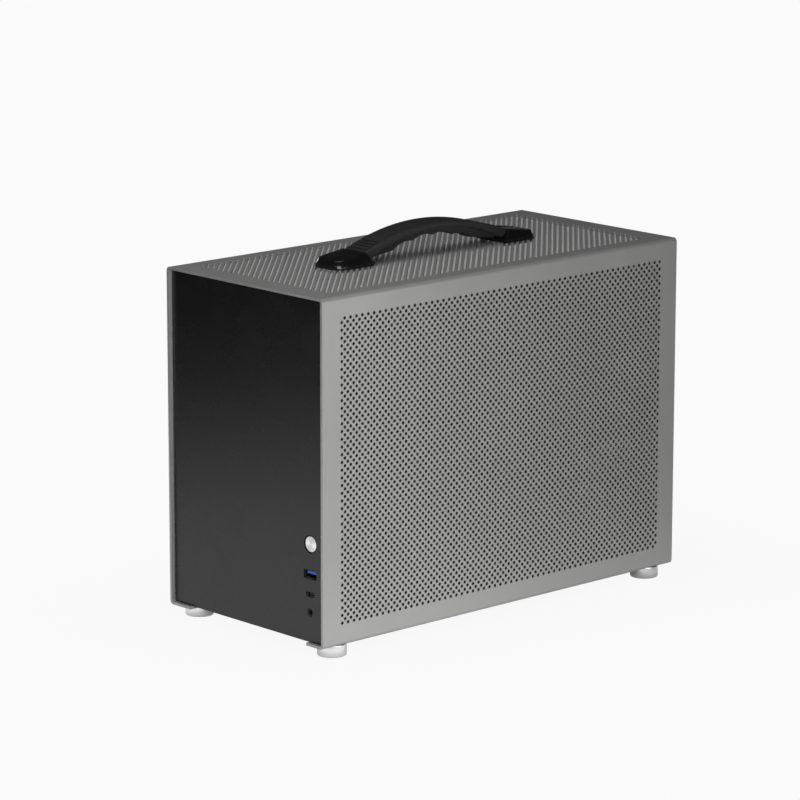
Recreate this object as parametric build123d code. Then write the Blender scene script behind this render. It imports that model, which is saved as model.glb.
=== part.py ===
"""Mini tower computer case: a bent sheet sleeve with a handle and feet, around a frame that draws out.

Millimetres. X runs across the case, Y from the front to the back, Z up. The origin is on the floor,
below the middle of the sleeve. The front panel faces -Y.
"""
from build123d import *
import math
import os

os.makedirs("parts", exist_ok=True)

# Sleeve: one bent sheet
SLEEVE_W = 164.0
SLEEVE_L = 346.0
SLEEVE_H = 245.0
SHEET = 2.0
TOP_BEND_R = 3.0
BOTTOM_BEND_R = 3.0
LEFT_FLANGE_W = 22.0
RIGHT_FLANGE_W = 17.0

# Side perforation: the real grid, and how many real pitches one modelled hole stands for
HOLE_PITCH = 5.4
HOLE_D = 2.5
HOLE_END_MARGIN = 17.5
HOLE_TOP_MARGIN = 14.9
HOLE_BOTTOM_MARGIN = 16.1
HOLES_MERGED = 7

# Top slots at 45 degrees
SLOT_PITCH = 5.4
SLOT_W = 1.8
SLOT_SHIFT = 2.1
SLOT_SIDE_MARGIN = 14.3
SLOT_END_MARGIN = 17.3
SLOT_MIN_L = 4.0

# Feet
FOOT_D = 20.5
FOOT_STAND = 9.0
FOOT_SIDE_INSET = 11.1
FOOT_END_INSET = 18.0
FOOT_CHAMFER = 0.4
PAD_D = 13.6
PAD_T = 2.0
PAD_PROUD = 0.5
PAD_CLEARANCE = 0.2
FOOT_WEB = 1.0

# Handle, heights above the top sheet
HANDLE_L = 196.0
CAP_W = 30.0
CAP_L = 33.7
CAP_STEP_H = 3.0
CAP_STEP_W = 1.0
CAP_NOSE_H = 5.7
CAP_CORNER_R = 9.0
CAP_DRAFT_DEG = 22.0
GRIP_L = 138.0
GRIP_W = 23.0
GRIP_END_H = 9.5
GRIP_RISE = 13.5
GRIP_SLAB_T = 4.2
GRIP_END_LEAN = 3.2
GRIP_EDGE_R = 1.0
RIB_W = 14.0
RIB_MID_H = 13.2
RIB_NEXT_H = 11.2
RIB_OUTER_H = 6.6
RIB_END_H = 3.6
RIB_END_INSET = 6.0
SCALLOP_PITCH = 20.4
SCALLOP_RISE = 2.1
GROOVE_COUNT = 4
GROOVE_PITCH = 3.6
GROOVE_W = 1.3
GROOVE_DEPTH = 0.7
GROOVE_EDGE_INSET = 1.6
GROOVE_FIRST_INSET = 3.2
TONGUE_W = 20.0
TONGUE_T = 4.0
TONGUE_L = 22.0
TONGUE_ROOT_L = 13.0
TONGUE_ROOT_SLOPE = 6.0
TONGUE_CLEARANCE = 0.1
HANDLE_SCREW_D = 4.0
HANDLE_SCREW_L = 8.0
HANDLE_SCREW_OUTER_INSET = 10.0
HANDLE_SCREW_PITCH = 14.0
HANDLE_PAD_W = 16.0

# Frame that draws out of the sleeve
FRAME_T = 1.5
FRAME_CLEARANCE = 0.5
PANEL_RECESS = 2.7
REAR_RECESS = 14.0
PAN_DEPTH = 12.0
BASE_LIP_H = 8.0
BASE_SIDE_CLEARANCE = 0.1
TRAY_GAP = 12.5
TRAY_FLANGE_W = 10.0
TRAY_TOP_GAP = 3.0
TRAY_WINDOW_L = 66.0
TRAY_WINDOW_H = 86.0
TRAY_WINDOW_REAR_BORDER = 4.0
TRAY_CORNER_L = 36.0
TRAY_CORNER_RISE = 20.0

# Front ports, across from the sleeve's right face and up from the sleeve's underside
PORT_COLUMN_INSET = 16.1
BUTTON_H = 71.6
USB_A_H = 50.1
USB_C_H = 35.9
JACK_H = 23.3
BUTTON_D = 11.5
BUTTON_HOLE_D = 12.6
BUTTON_T = 3.0
BUTTON_SUNK = 0.6
BUTTON_TRAVEL = 1.0
BUTTON_STEM_D = 6.0
BUTTON_STEM_L = 9.0
BUTTON_EDGE = 0.2
CLIP_D = 9.0
CLIP_T = 0.8
CLIP_GROOVE_DEPTH = 0.6
BARREL_D = 16.0
BARREL_L = 16.0
BARREL_WALL = 1.5
BARREL_GAP = 3.4
RUNNING_CLEARANCE = 0.08
USB_A_W = 13.3
USB_A_T = 6.4
USB_A_TONGUE_INSET = 1.0
USB_A_TONGUE_T = 1.9
USB_A_TONGUE_RISE = 1.0
USB_C_W = 9.1
USB_C_T = 3.6
USB_C_TONGUE_INSET = 1.1
USB_C_TONGUE_T = 0.7
PORT_DEPTH = 13.3
PORT_SHELL_T = 0.4
PORT_CLEARANCE = 0.15
TONGUE_SETBACK = 0.6
JACK_D = 6.0
JACK_BORE_D = 3.6
JACK_BODY_W = 6.6
JACK_BORE_L = 12.0
JACK_SUNK = 0.3
HOLDER_T = 3.0
HOLDER_EAR_T = 2.5
HOLDER_EAR_L = 9.0
HOLDER_SCREW_SETBACK = 6.1
HOLDER_POST_D = 6.0
HOLDER_POST_INSET = 11.0
IO_BOARD_T = 1.6
IO_BOARD_MARGIN = 5.5

# Standard interfaces of the parts that the case takes
BOARD_SIDE = 170.0
BOARD_T = 1.6
STANDOFF_H = 6.5
STANDOFF_AF = 5.0
STANDOFF_BORE_D = 2.9
BOARD_HOLE_EDGE = 6.35
BOARD_HOLE_SPAN = 157.48
BOARD_FRONT_SPAN = 154.94
BOARD_REAR_SPAN = 132.08
BOARD_BOTTOM_H = 68.5
BOARD_REAR_GAP = 1.2
IO_CUT_L = 158.75
IO_CUT_W = 44.45
IO_CUT_BOARD_GAP = 2.0
IO_CUT_BOTTOM_GAP = 8.0
CARD_COUNT = 3
CARD_PITCH = 20.32
CARD_FIRST_H = 26.0
CARD_OPENING_W = 13.0
CARD_OPENING_L = 98.0
COVER_W = 18.4
COVER_T = 0.9
COVER_TAB_L = 11.4
COVER_FOOT_L = 6.0
COVER_VENT_W = 3.2
COVER_VENT_L = 14.0
COVER_VENT_PITCH = 17.5
COVER_VENT_ROW_PITCH = 5.6
COVER_PASSAGE_CLEARANCE = 0.3
LEDGE_DEPTH = 12.0
LEDGE_SCREW_PART = 0.6
PSU_W = 125.0
PSU_H = 63.5
PSU_HOLE_SPAN_W = 113.0
PSU_HOLE_SPAN_H = 51.5
PSU_HOLE_D = 4.0
PSU_SIDE_RIM = 12.0
PSU_LOW_RIM = 4.0
PSU_TOP_RIM = 12.0
PSU_BRACKET_SETBACK = 112.0
PSU_BRACKET_TOP_GAP = 34.0
PSU_FOOT_L = 14.0
PSU_SIDE_GAP = 2.0

# Mains inlet at the rear
INLET_H = 68.0
INLET_SIDE_INSET = 16.5
INLET_FLANGE_W = 22.0
INLET_FLANGE_H = 50.0
INLET_FLANGE_T = 2.5
INLET_BODY_W = 20.0
INLET_BODY_H = 27.5
INLET_BODY_L = 19.0
INLET_WALL = 1.8
INLET_CORNER = 4.0
INLET_SCREW_SPAN = 40.0
INLET_CLEARANCE = 0.2
INLET_PIN_W = 2.0
INLET_PIN_T = 4.0
INLET_PIN_L = 16.0
INLET_PIN_SPAN = 14.0
INLET_EARTH_OFFSET = 4.0

# Vents in the hidden panels
VENT_W = 4.0
VENT_PITCH = 8.0
VENT_BORDER = 16.0
VENT_ROW_GAP = 12.0
BASE_VENT_L = 34.0

# Fasteners
SMALL_SCREW_D = 3.0
SMALL_HEAD_D = 5.6
SMALL_HEAD_H = 1.8
SMALL_HEAD_EDGE_R = 0.7
DRIVE_L = 3.2
DRIVE_W = 0.8
DRIVE_DEPTH = 0.9
SINK_HEAD_RATIO = 1.9
SOCKET_DEPTH_PART = 0.8
THREAD_CLEARANCE = 0.05
CUT_MARGIN = 1.0
LOCK_BRACKET_W = 14.0
LOCK_BRACKET_LEG = 11.0
LOCK_GAP = 0.3
LOCK_HEAD_D = 9.0
LOCK_HEAD_H = 5.0
LOCK_SCREW_L = 7.0
LOCK_LOW_H = 30.0
LOCK_HIGH_H = 215.0

# Places worked out from the sizes above
HALF_W = SLEEVE_W / 2
HALF_L = SLEEVE_L / 2
SLEEVE_Z = FOOT_STAND
TOP_Z = SLEEVE_Z + SLEEVE_H
INNER_X = HALF_W - SHEET
FLOOR_Z = SLEEVE_Z + SHEET
CEIL_Z = TOP_Z - SHEET
FRAME_X = INNER_X - FRAME_CLEARANCE
FRAME_TOP = CEIL_Z - FRAME_CLEARANCE
PANEL_Y = -HALF_L + PANEL_RECESS
PANEL_BACK = PANEL_Y + FRAME_T
REAR_Y = HALF_L - REAR_RECESS
REAR_INNER = REAR_Y - FRAME_T
BASE_Z = FLOOR_Z + FRAME_T
BASE_TOP = BASE_Z + FRAME_T
BASE_X = FRAME_X - FRAME_T - BASE_SIDE_CLEARANCE
TRAY_OUT = INNER_X - TRAY_GAP
TRAY_IN = TRAY_OUT - FRAME_T
BOARD_X = TRAY_IN - STANDOFF_H
BOARD_FACE = BOARD_X - BOARD_T
BOARD_Z = SLEEVE_Z + BOARD_BOTTOM_H
BOARD_REAR = REAR_INNER - BOARD_REAR_GAP
CARD_START = BOARD_FACE - IO_CUT_BOARD_GAP
CARD_LEDGE = CARD_START - CARD_OPENING_L
COVER_SCREW_Y = REAR_INNER + LEDGE_DEPTH * LEDGE_SCREW_PART
PORT_X = HALF_W - PORT_COLUMN_INSET
BUTTON_Z = SLEEVE_Z + BUTTON_H
USB_A_Z = SLEEVE_Z + USB_A_H
USB_C_Z = SLEEVE_Z + USB_C_H
JACK_Z = SLEEVE_Z + JACK_H
PORT_BACK = PANEL_BACK + PORT_DEPTH
BUTTON_FACE = PANEL_Y + BUTTON_SUNK
BARREL_WALL_Y = BUTTON_FACE + BUTTON_T + BARREL_GAP + BUTTON_TRAVEL
PSU_PLATE_Y = PANEL_BACK + PSU_BRACKET_SETBACK
PSU_PLATE_X = BASE_X - FRAME_T - BASE_SIDE_CLEARANCE
INLET_X = -FRAME_X + INLET_SIDE_INSET
INLET_Z = SLEEVE_Z + INLET_H
FOOT_X = HALF_W - FOOT_SIDE_INSET
FOOT_Y = HALF_L - FOOT_END_INSET
GRIP_END = GRIP_L / 2
GRIP_CROWN_Z = TOP_Z + GRIP_END_H + GRIP_RISE
SCREW_ROOM_R = SMALL_SCREW_D / 2 + THREAD_CLEARANCE


def block(x_span, y_span, z_span):
    """A box between two corners, given as spans along each axis."""
    spans = (x_span, y_span, z_span)
    middle = tuple((low + high) / 2 for low, high in spans)
    size = tuple(high - low for low, high in spans)
    return Pos(*middle) * Box(*size)


def rod_z(x, y, z_span, radius):
    low, high = z_span
    return Pos(x, y, (low + high) / 2) * Cylinder(radius, high - low)


def rod_y(x, z, y_span, radius):
    low, high = y_span
    return Pos(x, (low + high) / 2, z) * Rot(90, 0, 0) * Cylinder(radius, high - low)


def rod_x(y, z, x_span, radius):
    low, high = x_span
    return Pos((low + high) / 2, y, z) * Rot(0, 90, 0) * Cylinder(radius, high - low)


def around(middle, half):
    """The span of a given half width about a middle."""
    return (middle - half, middle + half)


def from_side_view(points, half_width):
    """A solid across the case from a closed side view, given as pairs of y and z."""
    return extrude(Plane.YZ * make_face(Polyline(*points, close=True)), half_width, both=True)


def from_front_view(sketch, y_span):
    """A solid along the case from a sketch whose axes are X and Z."""
    low, high = y_span
    return Pos(0, low, 0) * (Plane.XZ.location * extrude(sketch, low - high))


def framed(x_half, z_low, z_high, low_r, high_r):
    """A rectangle whose lower and upper corners are rounded."""
    outline = Pos(0, (z_low + z_high) / 2) * Rectangle(2 * x_half, z_high - z_low)
    if high_r > 0:
        outline = fillet(outline.vertices().group_by(Axis.Y)[-1], high_r)
    if low_r > 0:
        outline = fillet(outline.vertices().group_by(Axis.Y)[0], low_r)
    return outline


def save(name, solids):
    """Write one node, one solid or a group of like solids."""
    shape = Compound(children=list(solids)) if isinstance(solids, list) else solids
    shape.label = name
    export_step(shape, f"parts/{name}.step")


def side_holes():
    """Square holes on their points, each as open as the round holes that it stands for."""
    step = HOLE_PITCH / 2 * HOLES_MERGED
    open_share = math.pi * HOLE_D ** 2 / 4 / (HOLE_PITCH ** 2 / 2)
    side = math.sqrt(open_share * 2) * step
    y_half = HALF_L - HOLE_END_MARGIN
    z_low = SLEEVE_Z + HOLE_BOTTOM_MARGIN
    z_high = TOP_Z - HOLE_TOP_MARGIN
    columns = int((2 * y_half - side) / step) + 1
    rows = int((z_high - z_low - side) / step) + 1
    y_first = -(columns - 1) * step / 2
    z_first = (z_low + z_high) / 2 - (rows - 1) * step / 2
    places = [
        (y_first + column * step, z_first + row * step)
        for column in range(columns) for row in range(rows) if (column + row) % 2 == 0]
    return Sketch() + [Pos(y, z) * Rectangle(side, side, rotation=45) for y, z in places]


def slot_spans(total):
    """The x spans of the slot line x + y = total inside the slotted field, clear of the screwed pads."""
    x_half = HALF_W - SLOT_SIDE_MARGIN
    y_half = HALF_L - SLOT_END_MARGIN
    pad_x = HANDLE_PAD_W / 2
    pad_out = HANDLE_L / 2 - HANDLE_SCREW_OUTER_INSET + pad_x
    pad_in = pad_out - HANDLE_SCREW_PITCH - HANDLE_PAD_W
    spans = [(max(-x_half, total - y_half), min(x_half, total + y_half))]
    for y_low, y_high in ((-pad_out, -pad_in), (pad_in, pad_out)):
        cut_low = max(-pad_x, total - y_high)
        cut_high = min(pad_x, total - y_low)
        if cut_low < cut_high:
            kept = []
            for a, b in spans:
                kept += [(a, min(b, cut_low)), (max(a, cut_high), b)]
            spans = kept
    shortest = SLOT_MIN_L / math.sqrt(2)
    return [(a, b) for a, b in spans if b - a > shortest]


def top_slots():
    """Long 45 degree slots with round ends, in one flat sketch."""
    last = int((HALF_W + HALF_L) / SLOT_PITCH)
    slots = []
    for k in range(-last, last + 1):
        total = SLOT_SHIFT + k * SLOT_PITCH
        for x_low, x_high in slot_spans(total):
            x_mid = (x_low + x_high) / 2
            length = (x_high - x_low) * math.sqrt(2)
            slots.append(Pos(x_mid, total - x_mid) * SlotOverall(length, SLOT_W, rotation=-45))
    return Sketch() + slots


def sunk_solid(x, y, face_z, sign, length, screw_d, clearance):
    """A sunk screw's outline, head flush with face_z, shank up for sign 1 and down for sign -1."""
    head_d = SINK_HEAD_RATIO * screw_d
    head_h = (head_d - screw_d) / 2
    shank = rod_z(x, y, sorted((face_z, face_z + sign * length)), screw_d / 2 + clearance)
    head = Pos(x, y, face_z + sign * head_h / 2) * Rot(90 - 90 * sign, 0, 0) * Cone(
        head_d / 2 + clearance, screw_d / 2 + clearance, head_h)
    return shank + head


def sunk_screw(x, y, face_z, sign, length, screw_d):
    """A sunk screw with a hexagon socket."""
    depth = (SINK_HEAD_RATIO - 1) * screw_d / 2 * SOCKET_DEPTH_PART
    socket = Pos(x, y, face_z) * extrude(RegularPolygon(screw_d / 3, 6), sign * depth)
    return sunk_solid(x, y, face_z, sign, length, screw_d, 0) - socket


def foot_places():
    return [(x, y) for y in (-FOOT_Y, FOOT_Y) for x in (-FOOT_X, FOOT_X)]


def handle_screw_ys():
    outer = HANDLE_L / 2 - HANDLE_SCREW_OUTER_INSET
    return [outer, outer - HANDLE_SCREW_PITCH]


def build_sleeve():
    middle_z = SLEEVE_Z + SLEEVE_H / 2
    outer = framed(HALF_W, SLEEVE_Z, TOP_Z, BOTTOM_BEND_R, TOP_BEND_R)
    inner = framed(INNER_X, FLOOR_Z, CEIL_Z, BOTTOM_BEND_R - SHEET, TOP_BEND_R - SHEET)
    body = from_front_view(outer - inner, (-HALF_L, HALF_L))
    body -= block(
        (-HALF_W + LEFT_FLANGE_W, HALF_W - RIGHT_FLANGE_W), (-SLEEVE_L, SLEEVE_L),
        (0, (middle_z + SLEEVE_Z) / 2))
    holes = side_holes()
    for x in (-HALF_W + SHEET / 2, HALF_W - SHEET / 2):
        cutter = extrude(holes, SHEET / 2 + CUT_MARGIN, both=True)
        body -= Pos(x, 0, 0) * (Plane.YZ.location * cutter)
    body -= Pos(0, 0, CEIL_Z - CUT_MARGIN) * extrude(top_slots(), SHEET + 2 * CUT_MARGIN)
    for x, y in foot_places():
        body -= sunk_solid(x, y, FLOOR_Z, -1, SHEET + CUT_MARGIN, SMALL_SCREW_D, THREAD_CLEARANCE)
    for y in handle_screw_ys():
        for side in (-1, 1):
            body -= sunk_solid(
                0, side * y, CEIL_Z, 1, SHEET + CUT_MARGIN, HANDLE_SCREW_D, THREAD_CLEARANCE)
    return body


def build_foot(x, y):
    foot = rod_z(x, y, (PAD_PROUD, SLEEVE_Z), FOOT_D / 2)
    foot = chamfer(foot.edges().filter_by(GeomType.CIRCLE), FOOT_CHAMFER)
    foot -= rod_z(x, y, (0, PAD_T), PAD_D / 2 + PAD_CLEARANCE)
    return foot - rod_z(x, y, (PAD_T + FOOT_WEB, SLEEVE_Z + CUT_MARGIN), SCREW_ROOM_R)


def build_foot_screws():
    length = FLOOR_Z - PAD_T - 2 * FOOT_WEB
    return [sunk_screw(x, y, FLOOR_Z, -1, length, SMALL_SCREW_D) for x, y in foot_places()]


def cap_outline(width, nose_y, inner_y, corner_r):
    """Plan of the front cap: square towards the grip, round corners at the nose."""
    outline = Pos(0, (nose_y + inner_y) / 2) * Rectangle(width, inner_y - nose_y)
    return fillet(outline.vertices().group_by(Axis.Y)[0], corner_r)


def front_tongue(clearance, inner_y):
    """The flat end of the grip inside the front cap, as far in as inner_y."""
    return block(
        around(0, TONGUE_W / 2 + clearance), (-GRIP_END - TONGUE_L - clearance, inner_y),
        (TOP_Z, TOP_Z + TONGUE_T + clearance))


def build_front_cap():
    nose_y = -HANDLE_L / 2
    inner_y = nose_y + CAP_L
    step = extrude(cap_outline(CAP_W, nose_y, inner_y, CAP_CORNER_R), CAP_STEP_H)
    crown_face = cap_outline(
        CAP_W - 2 * CAP_STEP_W, nose_y + CAP_STEP_W, inner_y + GRIP_RISE, CAP_CORNER_R - CAP_STEP_W)
    crown = Pos(0, 0, CAP_STEP_H) * extrude(crown_face, GRIP_END_H, taper=CAP_DRAFT_DEG)
    slope_run = -GRIP_END - nose_y
    slope_rise = GRIP_END_H - CAP_NOSE_H
    sky = 2 * GRIP_RISE + GRIP_END_H
    above = from_side_view(
        [(nose_y, CAP_NOSE_H), (nose_y + 2 * slope_run, CAP_NOSE_H + 2 * slope_rise),
         (nose_y + 2 * slope_run, sky), (nose_y, sky)], CAP_W)
    cap = Pos(0, 0, TOP_Z) * (step + (crown - above))
    lean_rate = GRIP_END_LEAN / (GRIP_END_H - CAP_STEP_H)
    foot_y = -GRIP_END + GRIP_END_LEAN - TONGUE_CLEARANCE
    step_z = TOP_Z + CAP_STEP_H
    cap -= from_side_view(
        [(foot_y, step_z), (foot_y - lean_rate * sky, step_z + sky), (0, step_z + sky), (0, step_z)], CAP_W)
    cap -= front_tongue(TONGUE_CLEARANCE, -GRIP_END + CAP_L)
    for y in handle_screw_ys():
        cap -= rod_z(0, -y, (TOP_Z, CEIL_Z + HANDLE_SCREW_L), HANDLE_SCREW_D / 2 + THREAD_CLEARANCE)
    return cap


def grip_slab():
    """The wide upper part of the grip, from its arched side view."""
    low_z = TOP_Z + CAP_STEP_H
    high_z = TOP_Z + GRIP_END_H
    low_y = GRIP_END - GRIP_END_LEAN
    outline = Curve() + [
        ThreePointArc((-GRIP_END, high_z), (0, GRIP_CROWN_Z), (GRIP_END, high_z)),
        Line((GRIP_END, high_z), (low_y, low_z)),
        ThreePointArc((low_y, low_z), (0, GRIP_CROWN_Z - GRIP_SLAB_T), (-low_y, low_z)),
        Line((-low_y, low_z), (-GRIP_END, high_z))]
    slab = extrude(Plane.YZ * make_face(outline), GRIP_W / 2, both=True)
    long_edges = slab.edges().filter_by(GeomType.CIRCLE).sort_by(Axis.Z)[-2:]
    return fillet(long_edges, GRIP_EDGE_R)


def grip_rib():
    """The narrower rib under the slab, with a scallop for each finger."""
    end_y = GRIP_END - RIB_END_INSET
    heights = (RIB_OUTER_H, RIB_NEXT_H, RIB_MID_H, RIB_NEXT_H, RIB_OUTER_H)
    cusps = [((k - 2) * SCALLOP_PITCH, TOP_Z + height) for k, height in enumerate(heights)]
    ends = [(-end_y, TOP_Z + RIB_END_H), (end_y, TOP_Z + RIB_END_H)]
    tops = [(-end_y, TOP_Z + GRIP_END_H), (end_y, TOP_Z + GRIP_END_H)]
    outline = [Line(ends[0], cusps[0])]
    for (y0, z0), (y1, z1) in zip(cusps[:-1], cusps[1:]):
        outline.append(ThreePointArc((y0, z0), ((y0 + y1) / 2, (z0 + z1) / 2 + SCALLOP_RISE), (y1, z1)))
    outline += [
        Line(cusps[-1], ends[1]), Line(ends[1], tops[1]),
        ThreePointArc(tops[1], (0, GRIP_CROWN_Z - GRIP_SLAB_T / 2), tops[0]), Line(tops[0], ends[0])]
    return extrude(Plane.YZ * make_face(Curve() + outline), RIB_W / 2, both=True)


def groove_cutters():
    """Cross grooves near the front end of the grip, each square to the arch."""
    radius = (GRIP_END ** 2 + GRIP_RISE ** 2) / (2 * GRIP_RISE)
    length = GRIP_W - 2 * GROOVE_EDGE_INSET
    cutters = []
    for k in range(GROOVE_COUNT):
        y = -GRIP_END + GROOVE_FIRST_INSET + k * GROOVE_PITCH
        tilt = -math.degrees(math.asin(y / radius))
        groove = Box(length, GROOVE_W, 2 * GROOVE_DEPTH)
        cutters.append(Pos(0, 0, GRIP_CROWN_Z - radius) * Rot(tilt, 0, 0) * Pos(0, 0, radius) * groove)
    return cutters


def build_grip():
    low_y = -GRIP_END + GRIP_END_LEAN
    root_y = -GRIP_END + TONGUE_ROOT_L
    root = from_side_view(
        [(low_y - CUT_MARGIN / 2, TOP_Z), (low_y - CUT_MARGIN / 2, TOP_Z + TONGUE_T),
         (low_y + GRIP_END_LEAN, TOP_Z + 2 * TONGUE_T), (root_y + TONGUE_ROOT_SLOPE, TOP_Z + 2 * TONGUE_T),
         (root_y, TOP_Z)], TONGUE_W / 2)
    end = front_tongue(0, low_y) + root
    grip = grip_slab() + grip_rib() + end + mirror(end, Plane.XZ)
    for cutter in groove_cutters():
        grip -= cutter
        grip -= mirror(cutter, Plane.XZ)
    for y in handle_screw_ys():
        for side in (-1, 1):
            grip -= rod_z(0, side * y, around(TOP_Z, 2 * TONGUE_T), HANDLE_SCREW_D / 2 + THREAD_CLEARANCE)
    return grip


def build_handle_screws():
    return [
        sunk_screw(0, side * y, CEIL_Z, 1, HANDLE_SCREW_L, HANDLE_SCREW_D)
        for y in handle_screw_ys() for side in (-1, 1)]


def lock_places():
    """Side, x and z of each lock screw."""
    x = INNER_X - LOCK_BRACKET_LEG / 2 - FRAME_T / 2
    return [(side, side * x, SLEEVE_Z + height) for side in (-1, 1) for height in (LOCK_LOW_H, LOCK_HIGH_H)]


def build_lock_bracket(side, x, z):
    """A small angle inside the sleeve, behind the rear panel. One leg lies on the sleeve's wall."""
    front_y = REAR_Y + LOCK_GAP
    z_span = around(z, LOCK_BRACKET_W / 2)
    wall_leg = block(
        sorted((side * INNER_X, side * (INNER_X - FRAME_T))), (front_y, front_y + LOCK_BRACKET_LEG), z_span)
    cross_leg = block(
        sorted((side * INNER_X, side * (INNER_X - LOCK_BRACKET_LEG))), (front_y, front_y + FRAME_T), z_span)
    return wall_leg + cross_leg - rod_y(x, z, around(front_y, 2 * FRAME_T), SCREW_ROOM_R)


def build_lock_screw(x, z):
    """A slotted screw that stays with the bracket and reaches into the rear panel."""
    seat_y = REAR_Y + LOCK_GAP + FRAME_T
    top_y = seat_y + LOCK_HEAD_H
    head = rod_y(x, z, (seat_y, top_y), LOCK_HEAD_D / 2)
    head -= block(around(x, LOCK_HEAD_D), around(top_y, DRIVE_DEPTH), around(z, DRIVE_W / 2))
    return head + rod_y(x, z, (seat_y - LOCK_SCREW_L, seat_y), SMALL_SCREW_D / 2)


def pan(y_face, y_open):
    """A flat panel at y_face with a flange all round that ends at y_open."""
    toward = math.copysign(1, y_open - y_face)
    low_r = BOTTOM_BEND_R - SHEET
    high_r = TOP_BEND_R - SHEET
    outer = framed(FRAME_X, FLOOR_Z, FRAME_TOP, low_r, high_r)
    inner = framed(
        FRAME_X - FRAME_T, FLOOR_Z + FRAME_T, FRAME_TOP - FRAME_T, low_r - FRAME_T, high_r - FRAME_T)
    shell = from_front_view(outer, sorted((y_face, y_open)))
    return shell - from_front_view(inner, sorted((y_face + toward * FRAME_T, y_open + toward * CUT_MARGIN)))


def pan_screw_places():
    """Screws under the two panels' bottom flanges."""
    x = (HALF_W - LEFT_FLANGE_W) / 2
    inset = (PAN_DEPTH + FRAME_T) / 2
    return [(side * x, y) for y in (PANEL_Y + inset, REAR_Y - inset) for side in (-1, 1)]


def foot_screw_spots():
    """Screws from inside through the tray's and the supply bracket's foot into the base plate."""
    tray_x = TRAY_OUT + TRAY_FLANGE_W / 2
    bracket_y = PSU_PLATE_Y + PSU_FOOT_L * LEDGE_SCREW_PART
    rear_y = REAR_INNER - PAN_DEPTH - TRAY_FLANGE_W
    return [
        (tray_x, PSU_PLATE_Y - PSU_FOOT_L), (tray_x, 0.0), (tray_x, rear_y),
        (0.0, bracket_y), (TRAY_IN - PSU_SIDE_RIM, bracket_y), (-PSU_PLATE_X + PSU_SIDE_RIM, bracket_y)]


def tray_screw_heights():
    """Screws through the rear panel into the tray's rear flange."""
    low = BASE_TOP + PAN_DEPTH + TRAY_WINDOW_H / 2
    high = FRAME_TOP - 4 * PAN_DEPTH
    return [low, (low + high) / 2, high]


def bracket_screw_heights():
    """Screws through the tray into the supply bracket's side flange."""
    return [BASE_TOP + TRAY_WINDOW_H / 2, BOARD_Z + BOARD_SIDE / 2]


def cut_foot_screws(shape):
    for x, y in foot_screw_spots():
        shape -= rod_z(x, y, around(BASE_TOP, 3 * FRAME_T), SCREW_ROOM_R)
    return shape


def build_front_panel():
    panel = pan(PANEL_Y, PANEL_Y + PAN_DEPTH)
    span = (PANEL_Y - CUT_MARGIN, PANEL_BACK + CUT_MARGIN)
    panel -= rod_y(PORT_X, BUTTON_Z, span, BUTTON_HOLE_D / 2)
    panel -= block(around(PORT_X, USB_A_W / 2), span, around(USB_A_Z, USB_A_T / 2))
    panel -= from_front_view(Pos(PORT_X, USB_C_Z) * SlotOverall(USB_C_W, USB_C_T), span)
    panel -= rod_y(PORT_X, JACK_Z, span, JACK_D / 2 + RUNNING_CLEARANCE)
    for x, y in pan_screw_places():
        panel -= rod_z(x, y, around(FLOOR_Z, 3 * FRAME_T), SCREW_ROOM_R)
    for y, z in holder_screw_places():
        panel -= rod_x(y, z, (FRAME_X - 2 * FRAME_T, HALF_W), SCREW_ROOM_R)
    return panel


def base_vents():
    """Rows of long vents across the base plate, clear of its borders."""
    x_half = HALF_W - LEFT_FLANGE_W - VENT_BORDER / 2
    y_half = (REAR_INNER - PANEL_BACK) / 2 - PAN_DEPTH - VENT_BORDER
    y_mid = (REAR_INNER + PANEL_BACK) / 2
    x_pitch = BASE_VENT_L + VENT_ROW_GAP
    columns = max(1, int((2 * x_half + VENT_ROW_GAP) / x_pitch))
    rows = max(1, int(y_half / VENT_PITCH) + 1)
    places = [
        ((column - (columns - 1) / 2) * x_pitch, y_mid + (2 * row - (rows - 1)) * VENT_PITCH)
        for column in range(columns) for row in range(rows)]
    return Sketch() + [Pos(x, y) * SlotOverall(BASE_VENT_L, VENT_W) for x, y in places]


def build_base_plate():
    outer = Pos(0, BASE_Z + BASE_LIP_H) * Rectangle(2 * BASE_X, 2 * BASE_LIP_H)
    outer = fillet(outer.vertices().group_by(Axis.Y)[0], FRAME_T)
    inner = Pos(0, BASE_TOP + BASE_LIP_H) * Rectangle(2 * (BASE_X - FRAME_T), 2 * BASE_LIP_H)
    above = Pos(0, BASE_TOP + BASE_LIP_H * 2) * Rectangle(2 * SLEEVE_W, 2 * BASE_LIP_H)
    plate = from_front_view(outer - inner - above, (PANEL_BACK, REAR_INNER))
    plate -= Pos(0, 0, BASE_Z - CUT_MARGIN) * extrude(base_vents(), FRAME_T + 2 * CUT_MARGIN)
    for x, y in pan_screw_places():
        plate -= rod_z(x, y, around(BASE_TOP, 3 * FRAME_T), SCREW_ROOM_R)
    return cut_foot_screws(plate)


def card_heights():
    return [SLEEVE_Z + CARD_FIRST_H + k * CARD_PITCH for k in range(CARD_COUNT)]


def rear_vents():
    """Vertical slots in the rear panel, between the board's openings and its left edge."""
    left = -FRAME_X + VENT_BORDER
    right = CARD_START - IO_CUT_W - VENT_BORDER
    low = INLET_Z + INLET_FLANGE_H / 2 + VENT_PITCH
    high = FRAME_TOP - PAN_DEPTH
    count = max(1, int((right - left) / VENT_PITCH))
    length = (high - low - VENT_ROW_GAP) / 2
    first = (left + right) / 2 - (count - 1) * VENT_PITCH / 2
    return Sketch() + [
        Pos(first + k * VENT_PITCH, z) * SlotOverall(length, VENT_W, rotation=90)
        for k in range(count) for z in (low + length / 2, high - length / 2)]


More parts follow.
